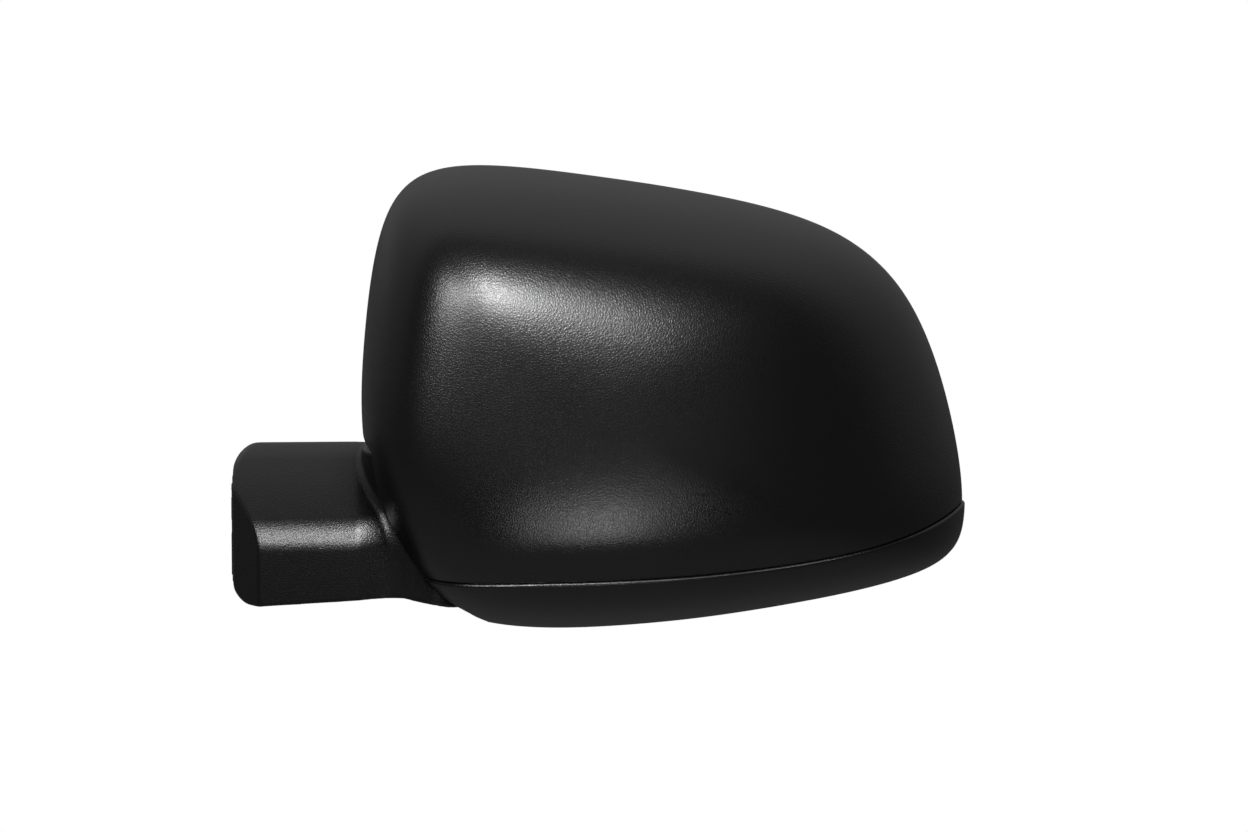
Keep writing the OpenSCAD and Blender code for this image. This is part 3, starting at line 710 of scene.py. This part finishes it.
def makeRim():
    # the frame round the glass, as rings from the covers' edge inwards and back under the covers
    f, h = rimForm, headForm
    back = h["back"] - f["wellDeep"]
    edge = turnAt(h["coverFrom"] - f["coverShy"])
    start = edge - f["edgeRound"] / f["edgeRadius"]
    rows = []
    # the rounded edge beside the covers
    for k in range(f["edgeRows"]):
        a = math.pi / 2 * k / f["edgeRows"]
        turn = edge - f["edgeRound"] / f["edgeRadius"] * math.sin(a)
        rows.append(headRingIn(turn, f["edgeRound"] * (1 - math.sin(a))))
    rows += [headRing(start * (1 - k / f["wallRows"])) for k in range(f["wallRows"])]
    # the bead round the glass, and the well inside it
    for k in range(f["beadRows"] + 1):
        a = math.pi * k / f["beadRows"]
        rows.append(flatRing(f["beadWide"] / 2 * (1 - math.cos(a)), h["back"] + f["beadUp"] * math.sin(a)))
    for k in range(1, f["wellRows"] + 1):
        w = k / f["wellRows"]
        off = f["beadWide"] + (f["wellOff"] - f["beadWide"]) * w ** f["wellCurve"]
        rows.append(flatRing(off, h["back"] - f["wellDeep"] * w))
    # back along the outside of the well, and the lap under the covers
    rows += [flatRing(f["wellOff"] - f["wellWall"], back), flatRing(f["backOuter"], back),
             flatRing(f["frontOuter"], h["back"] - f["behindBead"])]
    lap = turnAt(h["coverFrom"]) + math.radians(f["lapTurn"])
    for turn, under in ((edge, "lapUnder"), (lap, "lapUnder"), (lap, "lapTop"), (edge, "lapFoot")):
        rows.append(headRingIn(turn, h["wall"] + f[under]))
    obj = ringBody("rimFrameSkin", rows)
    cutAway(obj, roomCutter())
    obj.data.shade_smooth()
    return obj


rimFrame = makeRim()
print("rim frame:", len(rimFrame.data.polygons), "faces")


def roundMax(a, b, r):
    # both rules at once, with their meeting edge rounded
    return np.minimum(np.maximum(a, b), -r) + np.hypot(np.maximum(a + r, 0), np.maximum(b + r, 0))


def roundMin(a, b, r):
    # either rule, with a fillet where they meet
    return np.maximum(np.minimum(a, b), r) - np.hypot(np.maximum(r - a, 0), np.maximum(r - b, 0))


def netSurface(name, level, form, passes=4):
    # a mesh on the zero line of a distance rule: one point a cell, drawn onto the line
    step = form["step"]
    low, high = [np.array(corner, float) for corner in form["net"]]
    count = np.ceil((high - low) / step).astype(int) + 1
    axes = [low[k] + step * np.arange(count[k]) for k in range(3)]
    heights = level(*np.meshgrid(*axes, indexing="ij"))
    inside = heights < 0
    total = np.zeros([c - 1 for c in count] + [3])
    hits = np.zeros([c - 1 for c in count])
    corners = [(i, j, k) for i in (0, 1) for j in (0, 1) for k in (0, 1)]

    def part(c):
        return heights[tuple(slice(v, v + size - 1) for v, size in zip(c, heights.shape))]

    for a in corners:
        for ax in range(3):
            if a[ax] == 0:
                b = tuple(v + (1 if n == ax else 0) for n, v in enumerate(a))
                va, vb = part(a), part(b)
                cross = (va < 0) != (vb < 0)
                t = np.where(cross, va / np.where(cross, va - vb, 1), 0)
                spot = np.stack([np.full(va.shape, float(v)) for v in a], axis=-1)
                spot[..., ax] += t
                total += spot * cross[..., None]
                hits += cross
    live = hits > 0
    ids = np.full(live.shape, -1)
    ids[live] = np.arange(live.sum())
    base = np.stack(np.nonzero(live), axis=-1)
    points = low + step * (base + total[live] / hits[live][:, None])
    faces = []
    for ax in range(3):
        u, v = (ax + 1) % 3, (ax + 2) % 3
        lo = [slice(None)] * 3
        hi = [slice(None)] * 3
        lo[ax], hi[ax] = slice(0, -1), slice(1, None)
        a, b = inside[tuple(lo)], inside[tuple(hi)]
        for flip, spot in ((False, a & ~b), (True, ~a & b)):
            at = np.stack(np.nonzero(spot), axis=-1)
            at = at[(at[:, u] > 0) & (at[:, v] > 0) & (at[:, u] < count[u] - 1) & (at[:, v] < count[v] - 1)]
            quad = []
            for du, dv in ((-1, -1), (0, -1), (0, 0), (-1, 0)):
                q = at.copy()
                q[:, u] += du
                q[:, v] += dv
                quad.append(ids[q[:, 0], q[:, 1], q[:, 2]])
            quad = np.stack(quad, axis=-1)
            faces.append(quad[:, ::-1] if flip else quad)
    faces = np.concatenate(faces)
    h = 0.05  # the rule's slope is read this far to each side
    for turn in range(passes):
        x, y, z = points.T
        f = level(x, y, z)
        g = np.stack([level(x + h, y, z) - level(x - h, y, z), level(x, y + h, z) - level(x, y - h, z),
                      level(x, y, z + h) - level(x, y, z - h)], axis=-1) / (2 * h)
        size = np.maximum((g * g).sum(axis=1), 0.25)  # no leap where the rule is nearly level
        points = points - np.clip(f / size, -step / 2, step / 2)[:, None] * g
    return placed(name, newMesh(name, (points * mm).tolist(), faces.tolist()))


# net: two corners of the space that holds the piece; step: the size of its cells
armLook = dict(
    frontRound=5, crown=1.6, slopeBack=9, slopeDrawn=0.4, taperFrom=47, taper=0.32, taperRound=0.8,
    topRound=6, backRound=9, kneeRound=2.5, kneeShy=2.2, kneeFrom=60, kneeOver=10, knuckleTop=3,
    startTop=15, startLow=8, startRound=0.8, endRound=1.0, slant=(36.7, 24), slantAt=(-4, -3.6), slantRound=0.8,
    wallRound=0.5, openDeep=10, openRound=0.4, collar=15.6, collarUp=20,
    opening=[(-7.3, -20.3), (15.8, -20.3), (15.8, 15.3), (-1.1, 15.3), (-7.3, 9.1)],
    net=[(-1, -27, -33), (96, 26, 33)], step=0.8)


def insideOf(corners, u, v, soft=0):
    # below zero inside a convex outline given anticlockwise; soft rounds its corners
    level = None
    for (u0, v0), (u1, v1) in zip(corners, corners[1:] + corners[:1]):
        d = ((u - u0) * (v1 - v0) - (v - v0) * (u1 - u0)) / math.hypot(u1 - u0, v1 - v0)
        if level is not None:
            d = roundMax(level, d, soft) if soft else np.maximum(level, d)
        level = d
    return level


def armBody(x, y, z, off):
    # below zero inside the arm's outer form, drawn in by off
    f, k = armForm, armLook
    rise, run = f["top"] - f["edge"], f["front"] + k["slopeBack"]
    back, up = y - k["slopeBack"], z - f["top"]
    slope = (back * -rise + up * run) / math.hypot(rise, run)
    along = np.clip(-(back * run + up * rise) / (rise * rise + run * run), 0, 1)
    slope = slope - k["crown"] * 4 * along * (1 - along)
    # the front draws in where it goes under the head
    bend = x - k["taperFrom"]
    drawn = k["taper"] * (bend + np.sqrt(bend * bend + k["taperRound"] ** 2)) / 2
    block = roundMax(drawn - f["front"] - y, slope + drawn * k["slopeDrawn"], k["frontRound"])
    block = roundMax(block, up, k["topRound"])
    block = roundMax(block, y - f["back"], k["backRound"])
    block = np.maximum(block, x - f["reach"])
    knuckle = roundMax(np.hypot(x - f["reach"], y) - f["knuckle"], up, k["knuckleTop"])
    shy = k["kneeShy"] * np.clip((k["kneeFrom"] - x) / k["kneeOver"], 0, 1)
    body = np.maximum(roundMin(block, knuckle + shy, k["kneeRound"]), up)
    body = roundMax(body, f["start"] - x, k["endRound"])
    # the outline seen from the front: a large round at the top and a smaller one below
    for radius, height in ((k["startTop"], up), (k["startLow"], f["under"][0][1] - z)):
        ex, ez = f["start"] + radius - x, height + radius
        body = roundMax(body, np.where((ex > 0) & (ez > 0), np.hypot(ex, ez) - radius, -99), k["startRound"])
    # the slanted corner beside the door
    (wide, deep), (atX, atY) = k["slant"], k["slantAt"]
    slant = ((x - atX) * -wide + (y - atY) * -deep) / math.hypot(wide, deep)
    return roundMax(body, slant, k["slantRound"]) + off


def footCoverLevel(x, y, z):
    # the arm's wall, open below, at the door and round the head's collar
    f, k = armForm, armLook
    shell = roundMax(armBody(x, y, z, 0.0), -armBody(x, y, z, f["wall"]), k["wallRound"])
    shell = roundMax(shell, np.interp(x, *zip(*f["under"])) - z, k["wallRound"])
    opening = np.maximum(x - k["openDeep"], insideOf(k["opening"], y, z))
    collar = np.maximum(np.hypot(x - f["reach"], y) - k["collar"], k["collarUp"] - z)
    return np.maximum(roundMax(shell, -opening, k["openRound"]), -collar)


footCover = netSurface("footCoverSkin", footCoverLevel, armLook)
print("foot cover:", len(footCover.data.polygons), "faces")

plateForm = dict(low=-22.4, thick=2, shy=2.9, hole=1.8, soft=0.4, ribWide=0.9, ribHigh=1.5, ribSunk=0.1,
                 ribLong=26, ribMiddle=-2.5, ribsFrom=(9, 37), ribCounts=(3, 4), ribPitch=7,
                 sharp=40, screwLong=9, net=[(1, -24, -24), (92, 22, -19)], step=0.83)
footScrewSpots = [(30, 1), (82.5, 0)]


def plateLevel(x, y, z):
    # the plate fills the arm's form, a little in from its wall, and has two screw holes
    f = plateForm
    middle = f["low"] + f["thick"] / 2
    level = roundMax(armBody(x, y, 0 * z, f["shy"]), abs(z - middle) - f["thick"] / 2, f["soft"])
    for sx, sy in footScrewSpots:
        level = np.maximum(level, f["hole"] - np.hypot(x - sx, y - sy))
    return level


def ribTree():
    # the moulded plate with rows of ribs under it
    tree, ids, given, out = newTree("ribbedPlate", [
        ("Plate", "Object"), ("Rib Size", "Vector"), ("First Start", "Vector"), ("Second Start", "Vector"),
        ("Pitch", "Vector"), ("First Count", "Int"), ("Second Count", "Int"), ("Finish", "Material")])
    bar = node(tree, "GeometryNodeMeshCube", {"Size": given("Rib Size")}).outputs["Mesh"]
    pieces = [node(tree, "GeometryNodeObjectInfo", {"Object": given("Plate")}).outputs["Geometry"]]
    for row in ("First", "Second"):
        line = node(tree, "GeometryNodeMeshLine", {
            "Count": given(row + " Count"), "Start Location": given(row + " Start"), "Offset": given("Pitch")})
        pieces.append(node(tree, "GeometryNodeInstanceOnPoints", {
            "Points": line.outputs["Mesh"], "Instance": bar}).outputs["Instances"])
    ended(tree, joined(tree, *pieces), given, out)
    return tree, ids


def makePlate():
    f = plateForm
    plain = netSurface("plainPlate", plateLevel, f)
    tree, ids = ribTree()
    ribZ = (f["low"] - f["ribHigh"] / 2 + f["ribSunk"]) * mm
    starts = [(x * mm, f["ribMiddle"] * mm, ribZ) for x in f["ribsFrom"]]
    obj = grown("footPlateSkin", tree, ids, {
        "Plate": plain, "Rib Size": (f["ribWide"] * mm, f["ribLong"] * mm, f["ribHigh"] * mm),
        "First Start": starts[0], "Second Start": starts[1], "Pitch": (f["ribPitch"] * mm, 0, 0),
        "First Count": f["ribCounts"][0], "Second Count": f["ribCounts"][1],
        "Finish": materials["plain_plastic"]})
    bpy.data.objects.remove(plain)
    obj.data.set_sharp_from_angle(angle=math.radians(f["sharp"]))
    return obj


gasketForm = dict(outline=[(-7, -20), (15.5, -20), (15.5, 15), (-1, 15), (-7, 9)], round=2.2, thick=2,
                  body=0.35, lipIn=2.0, lipWide=0.5, lipDeep=1, boltUp=11, bolt=2.5, middle=5.8, soft=0.3,
                  net=[(-1, -9, -22), (3.2, 17.5, 17)], step=0.6)
grommetForm = dict(flange=5.5, neck=4.4, bore=2.8, start=0.3, flangeEnd=1.95, end=10, soft=0.35,
                   net=[(-0.5, -7, -7), (11.5, 7, 7)], step=0.5)


def gasketLevel(x, y, z):
    # a flat ring with a sealing lip towards the door, two bolt holes and the cable's hole
    f = gasketForm
    edge = insideOf(f["outline"], y, z, f["round"])
    body = roundMax(roundMax(edge, x - f["thick"], f["soft"]), f["body"] - x, f["soft"])
    lip = roundMax(np.maximum(abs(edge + f["lipIn"]) - f["lipWide"], x - f["lipDeep"]), -x, f["soft"])
    level = np.minimum(body, lip)
    for up in (-f["boltUp"], f["boltUp"]):
        level = np.maximum(level, f["bolt"] - np.hypot(y, z - up))
    return np.maximum(level, f["middle"] - np.hypot(y, z))


def grommetLevel(x, y, z):
    # a flange, a neck and the bore through both
    f = grommetForm
    r = np.hypot(y, z)

    def ring(radius, end):
        return roundMax(r - radius, abs(x - (f["start"] + end) / 2) - (end - f["start"]) / 2, f["soft"])

    outer = roundMin(ring(f["flange"], f["flangeEnd"]), ring(f["neck"], f["end"]), f["soft"])
    return roundMax(outer, f["bore"] - r, f["soft"])


gasket = netSurface("gasketSkin", gasketLevel, gasketForm)
grommet = netSurface("grommetSkin", grommetLevel, grommetForm)
print("foot rubber:", len(gasket.data.polygons), len(grommet.data.polygons), "faces")

glassForm = dict(middle=(167.44, 48.0), inset=9.5, face=37, thick=2, crown=1.0, edge=0.5, backEdge=0.3,
                 edgeSteps=4, rings=24, tip=0.002)


def makeGlass():
    # a crowned pane, as rings from the middle of its back round the edge to the middle of its face
    f = glassForm
    middle = np.array(f["middle"])
    far = np.linalg.norm(drawnIn(rimRing, f["inset"]) - middle, axis=1).max()
    back = f["face"] - f["thick"]

    def row(scale, inset, y, crowned):
        q = middle + (drawnIn(rimRing, f["inset"] + inset) - middle) * scale
        sag = f["crown"] * (np.linalg.norm(q - middle, axis=1) / far) ** 2 if crowned else 0 * q[:, 0]
        return np.column_stack([q[:, 0], y - sag, q[:, 1]])

    rows = [row(f["tip"], f["edge"], back, False), row(0.5, f["edge"], back, False),
            row(1, f["backEdge"], back, False), row(1, 0.0, back + f["backEdge"], False)]
    for k in range(f["edgeSteps"] + 1):
        a = math.pi / 2 * k / f["edgeSteps"]
        rows.append(row(1, f["edge"] * (1 - math.cos(a)), f["face"] - f["edge"] * (1 - math.sin(a)), True))
    scales = [1 - k / f["rings"] for k in range(1, f["rings"])] + [f["tip"]]
    rows += [row(scale, f["edge"], f["face"], True) for scale in scales]
    obj = ringBody("mirrorGlassPane", rows, closed=False)
    turnedOut(obj.data, fillHoles=True)
    return obj


mirrorGlass = makeGlass()
print("glass:", len(mirrorGlass.data.polygons), "faces")


# the second slot is a little shorter and deeper, so that the two cutters share no face
screwForm = dict(head=3.0, headHigh=1.4, dome=0.6, round=0.08, slotLong=3.62, slotWide=0.75, slotDeep=2.3,
                 slotUp=2, acrossShort=0.1, acrossDeep=0.13, shank=1.47, sunk=0.05, thread=0.2, pitch=1.0,
                 tip=1.2, headSides=32, headRows=4, headRings=6, shankSides=20, shankRows=64, sharp=35)


def screwTree():
    # pan-head screws with a cross recess, one at each point of the places
    f = screwForm
    tree, ids, given, out = newTree("panScrews", [
        ("Places", "Object"), ("Turn", "Vector"), ("Head Radius", "Float"), ("Head Height", "Float"),
        ("Dome", "Float"), ("Slot Long", "Vector"), ("Slot Across", "Vector"), ("Shank Radius", "Float"),
        ("Length", "Float"), ("Pitch", "Float"), ("Thread", "Float"), ("Finish", "Material")])

    def rod(vertices, sides, fills, radius, depth):
        return node(tree, "GeometryNodeMeshCylinder", {
            "Vertices": vertices, "Side Segments": sides, "Fill Segments": fills,
            "Radius": radius, "Depth": depth}, fill_type="TRIANGLE_FAN").outputs["Mesh"]

    def shaped(mesh, rule):
        return moved(tree, mesh, *rule(*parts(tree, pointPlace(tree))))

    radius, high, length = given("Head Radius"), given("Head Height"), given("Length")

    def headRule(x, y, z):
        outer = 0.5 - z / high
        slim = 1.0 - outer ** 3.0 * f["round"]
        bulge = (1.0 - (x * x + y * y) / (radius * radius)) * given("Dome") * outer.act("MAXIMUM", 0.0)
        return x * slim, y * slim, z - high * 0.5 - bulge

    def shankRule(x, y, z):
        tip = ((length * 0.5 - z) / (f["tip"] * mm)).act("MAXIMUM", 0.0).act("MINIMUM", 1.0) * 0.5 + 0.5
        wave = (y.act("ARCTAN2", x) + z / given("Pitch") * (2 * math.pi)).act("COSINE")
        size = (1.0 - (0.5 - wave * 0.5) * given("Thread") / given("Shank Radius")) * tip
        return x * size, y * size, z + length * 0.5 - f["sunk"] * mm

    head = shaped(rod(f["headSides"], f["headRows"], f["headRings"], radius, high), headRule)
    for label in ("Slot Long", "Slot Across"):
        bar = node(tree, "GeometryNodeMeshCube", {"Size": given(label)})
        lowered = node(tree, "GeometryNodeTransform", {
            "Geometry": bar.outputs["Mesh"], "Translation": (0, 0, -f["slotUp"] * mm)})
        head = node(tree, "GeometryNodeMeshBoolean", {
            "Mesh 1": head, "Mesh 2": lowered.outputs["Geometry"]}, operation="DIFFERENCE").outputs["Mesh"]
    shank = shaped(rod(f["shankSides"], f["shankRows"], 1, given("Shank Radius"), length), shankRule)
    places = node(tree, "GeometryNodeObjectInfo", {"Object": given("Places")})
    each = node(tree, "GeometryNodeInstanceOnPoints", {
        "Points": places.outputs["Geometry"], "Instance": joined(tree, head, shank), "Rotation": given("Turn")})
    ended(tree, each.outputs["Instances"], given, out)
    return tree, ids


screws, screwIds = screwTree()


def makeScrews(name, spots, length, turn=(0, 0, 0)):
    f = screwForm
    places = linked(name + "Places", newMesh(name + "Places", [(x * mm, y * mm, z * mm) for x, y, z in spots]))
    across = f["slotLong"] - f["acrossShort"], f["slotDeep"] + f["acrossDeep"]
    obj = grown(name, screws, screwIds, {
        "Places": places, "Turn": turn, "Head Radius": f["head"] * mm, "Head Height": f["headHigh"] * mm,
        "Dome": f["dome"] * mm, "Slot Long": (f["slotLong"] * mm, f["slotWide"] * mm, f["slotDeep"] * mm),
        "Slot Across": (f["slotWide"] * mm, across[0] * mm, across[1] * mm),
        "Shank Radius": f["shank"] * mm, "Length": length * mm, "Pitch": f["pitch"] * mm,
        "Thread": f["thread"] * mm, "Finish": materials["steel"]})
    bpy.data.objects.remove(places)
    obj.data.shade_smooth()
    obj.data.set_sharp_from_angle(angle=math.radians(f["sharp"]))
    return obj


# the drive's case is screwed down through three ears round the glass's middle
driveForm = dict(radius=41.5, depth=-7.8, turns=(90, 210, 330), screwLong=8.5)
driveSpots = [
    (glassForm["middle"][0] + driveForm["radius"] * math.cos(math.radians(a)), driveForm["depth"],
     glassForm["middle"][1] + driveForm["radius"] * math.sin(math.radians(a))) for a in driveForm["turns"]]
footSpots = [(x, y, plateForm["low"]) for x, y in footScrewSpots]
seatSpots = [(x, y, z + lowerSeat["sink"]) for x, y, z in lowerScrewSpots]
footScrews = makeScrews("footScrewSet", footSpots, plateForm["screwLong"])
lowerScrews = makeScrews("lowerScrewSet", seatSpots, lowerSeat["screwLong"])
driveScrews = makeScrews("driveScrewSet", driveSpots, driveForm["screwLong"], (math.pi / 2, 0, 0))
footPlate = makePlate()
print("screws and plate:", [len(o.data.polygons) for o in (footScrews, lowerScrews, driveScrews, footPlate)])

springForm = dict(low=44.4, high=25, shy=0.1, wire=2.8, radius=11.1, turns=5.0, flat=0.13, steps=36, sides=12)


def springTree():
    # a wound spring with its end turns closed
    tree, ids, given, out = newTree("foldSpring", [
        ("Radius", "Float"), ("Rise", "Float"), ("Wire Radius", "Float"), ("Turns", "Float"),
        ("Flat Share", "Float"), ("Place", "Vector"), ("Finish", "Material")])
    coil = node(tree, "GeometryNodeCurveSpiral", {
        "Resolution": springForm["steps"], "Rotations": given("Turns"), "Start Radius": given("Radius"),
        "End Radius": given("Radius"), "Height": given("Rise")}).outputs["Curve"]
    x, y, z = parts(tree, pointPlace(tree))
    rise, flat = given("Rise"), given("Flat Share")
    share = (z / rise - flat) / (1.0 - flat * 2.0)
    height = share.act("MAXIMUM", 0.0).act("MINIMUM", 1.0) * rise
    coil = moved(tree, coil, x, y, height, given("Place"))
    wire = node(tree, "GeometryNodeCurvePrimitiveCircle", {
        "Resolution": springForm["sides"], "Radius": given("Wire Radius")})
    sweep = node(tree, "GeometryNodeCurveToMesh", {
        "Curve": coil, "Profile Curve": wire.outputs["Curve"], "Fill Caps": True})
    ended(tree, sweep.outputs["Mesh"], given, out)
    return tree, ids


def makeSpring():
    f = springForm
    tree, ids = springTree()
    obj = grown("foldSpringCoil", tree, ids, {
        "Radius": f["radius"] * mm, "Rise": (f["high"] - f["wire"] - f["shy"]) * mm,
        "Wire Radius": f["wire"] / 2 * mm, "Turns": f["turns"], "Flat Share": f["flat"],
        "Place": (armForm["reach"] * mm, 0, (f["low"] + f["wire"] / 2 + f["shy"] / 2) * mm),
        "Finish": materials["steel"]})
    obj.data.shade_smooth()
    return obj


foldSpring = makeSpring()
print("spring:", len(foldSpring.data.polygons), "faces")


nodeFinishes = dict(
    cast_alloy=["foot_bracket"],
    steel=["detent_ring", "spring_seat", "retaining_clip"],
    nylon=["thrust_washer", "cap_clips", "tilt_motor", "pan_motor", "tilt_spindle", "pan_spindle", "gimbal_cross"],
    plain_plastic=["head_bracket", "pivot_shroud", "actuator_base", "actuator_lid", "glass_carrier"],
    foam=["adhesive_pad"])
for finish, names in nodeFinishes.items():
    for name in names:
        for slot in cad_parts[name].material_slots:
            slot.material = materials[finish]

for obj, cadNode, body, slotName in (
        (coverCap, "cover_cap", "head", "grained_plastic"),
        (lowerCover, "lower_cover", "head", "grained_plastic"),
        (rimFrame, "rim_frame", "head", "grained_plastic"),
        (footCover, "foot_cover", "arm", "grained_plastic"),
        (mirrorGlass, "mirror_glass", "glass", "mirror"),
        (footPlate, "foot_bottom_plate", "arm", "plain_plastic"),
        (gasket, "foot_gasket", "arm", "rubber"),
        (grommet, "cable_grommet", "arm", "rubber"),
        (footScrews, "foot_screws", "arm", "steel"),
        (lowerScrews, "lower_cover_screws", "head", "steel"),
        (driveScrews, "actuator_screws", "head", "steel"),
        (foldSpring, "fold_spring", "arm", "steel")):
    obj.data.materials.clear()
    obj.data.materials.append(materials[slotName])
    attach(obj, body)
    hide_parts(cadNode)
print("pieces dressed")

# the floor in metres, and how much light it gives back to the object
stage = dict(floor=-0.42, size=14.0, shade=0.29)


def seenPlainly(tree):
    # one for what the camera sees straight, through glass or in a sharp mirror
    path = tree.nodes.new("ShaderNodeLightPath")
    glossy, single, seen, through = [Field(tree, path.outputs["Is " + kind + " Ray"])
                                     for kind in ("Glossy", "Singular", "Camera", "Transmission")]
    return (glossy * single + seen + through).act("MINIMUM", 1.0)


def makeFloor():
    # seen plainly it is white, and clear from below
    s, z = stage["size"], stage["floor"]
    obj = linked("floor", newMesh("floor", [(-s, -s, z), (s, -s, z), (s, s, z), (-s, s, z)], [(0, 1, 2, 3)]))
    m = bpy.data.materials.new("whiteFloor")
    m.use_nodes = True
    tree = m.node_tree
    tree.nodes.clear()
    plain = node(tree, "ShaderNodeBsdfDiffuse", {"Color": (*[stage["shade"]] * 3, 1)}).outputs[0]
    white = tree.nodes.new("ShaderNodeEmission").outputs[0]
    clear = tree.nodes.new("ShaderNodeBsdfTransparent").outputs[0]
    below = tree.nodes.new("ShaderNodeNewGeometry").outputs["Backfacing"]
    top = node(tree, "ShaderNodeMixShader", {0: seenPlainly(tree), 1: plain, 2: white}).outputs[0]
    both = node(tree, "ShaderNodeMixShader", {0: below, 1: top, 2: clear}).outputs[0]
    node(tree, "ShaderNodeOutputMaterial", {"Surface": both})
    obj.data.materials.append(m)


def makeWorld():
    # white where seen plainly; dimmer, and darker ahead of the mirror than behind it, to the object
    w = bpy.data.worlds.new("studio")
    bpy.context.scene.world = w
    w.use_nodes = True
    tree, f = w.node_tree, studio
    back, up = parts(tree, tree.nodes.new("ShaderNodeTexCoord").outputs["Generated"])[1:]
    lit = up.act("MAXIMUM", 0.0) ** f["falloff"] * f["above"] + f["behind"]
    dim = ((back - f["start"]) / f["over"]).ease() * lit + f["ahead"]
    seen = seenPlainly(tree)
    sky = tree.nodes["Background"]
    sky.inputs["Color"].default_value = (1, 1, 1, 1)
    put(tree, sky.inputs["Strength"], seen + (1.0 - seen) * dim)


def softbox(name, look):
    light = bpy.data.lights.new(name, "AREA")
    light.shape = look.get("shape", "RECTANGLE")
    light.size, light.size_y = look["size"]
    light.energy = look["power"]
    light.spread = math.radians(look.get("spread", 180))
    obj = linked(name, light)
    obj.location = look["at"]
    aim = (Vector(look["toward"]) - Vector(look["at"])).to_track_quat("-Z", "Y").to_matrix().to_4x4()
    obj.rotation_euler = (aim @ Matrix.Rotation(math.radians(look.get("tilt", 0)), 4, "Z")).to_euler()
    obj.visible_camera = False


# the room's light on the object: its least, what comes from behind and above, and where that starts
studio = dict(ahead=0.05, behind=0.12, above=0.37, falloff=1.5, start=-0.35, over=0.4)
# the lamps, in metres and watts
keyLight = dict(at=(0.1762, -0.3647, 0.2447), toward=(0.0592, -0.0657, 0.1047), size=(0.12, 0.135),
                shape="ELLIPSE", tilt=-25, power=1.45)
stripLight = dict(at=(-0.0797, -0.4608, 0.254), toward=(-0.1967, -0.1618, 0.114), size=(0.30, 0.09),
                  tilt=-14, power=1.5)
lowLight = dict(at=(0.183, -0.197, -0.087), toward=(0.137, -0.057, 0.022), size=(0.03, 0.085),
                shape="ELLIPSE", spread=50, power=0.0046)
makeFloor()
makeWorld()
softbox("keySoftbox", keyLight)
softbox("stripSoftbox", stripLight)
softbox("lowCard", lowLight)
print("stage and lamps set")

# across is the width that the picture shows at the target, in metres
view = dict(target=(0.1473, -0.0021, 0.0401), azimuth=-3, elevation=8, distance=2.5, across=0.468, sensor=36)


def makeCamera():
    camera = bpy.data.cameras.new("photoCamera")
    camera.sensor_width = view["sensor"]
    camera.lens = view["sensor"] * view["distance"] / view["across"]
    camera.clip_end = 100
    obj = linked("photoCamera", camera)
    az, el = math.radians(view["azimuth"]), math.radians(view["elevation"])
    away = Vector((math.sin(az) * math.cos(el), -math.cos(az) * math.cos(el), math.sin(el)))
    obj.location = Vector(view["target"]) + away * view["distance"]
    obj.rotation_euler = (-away).to_track_quat("-Z", "Y").to_euler()
    return obj


bpy.context.scene.camera = makeCamera()
bpy.context.scene.view_settings.view_transform = "Standard"
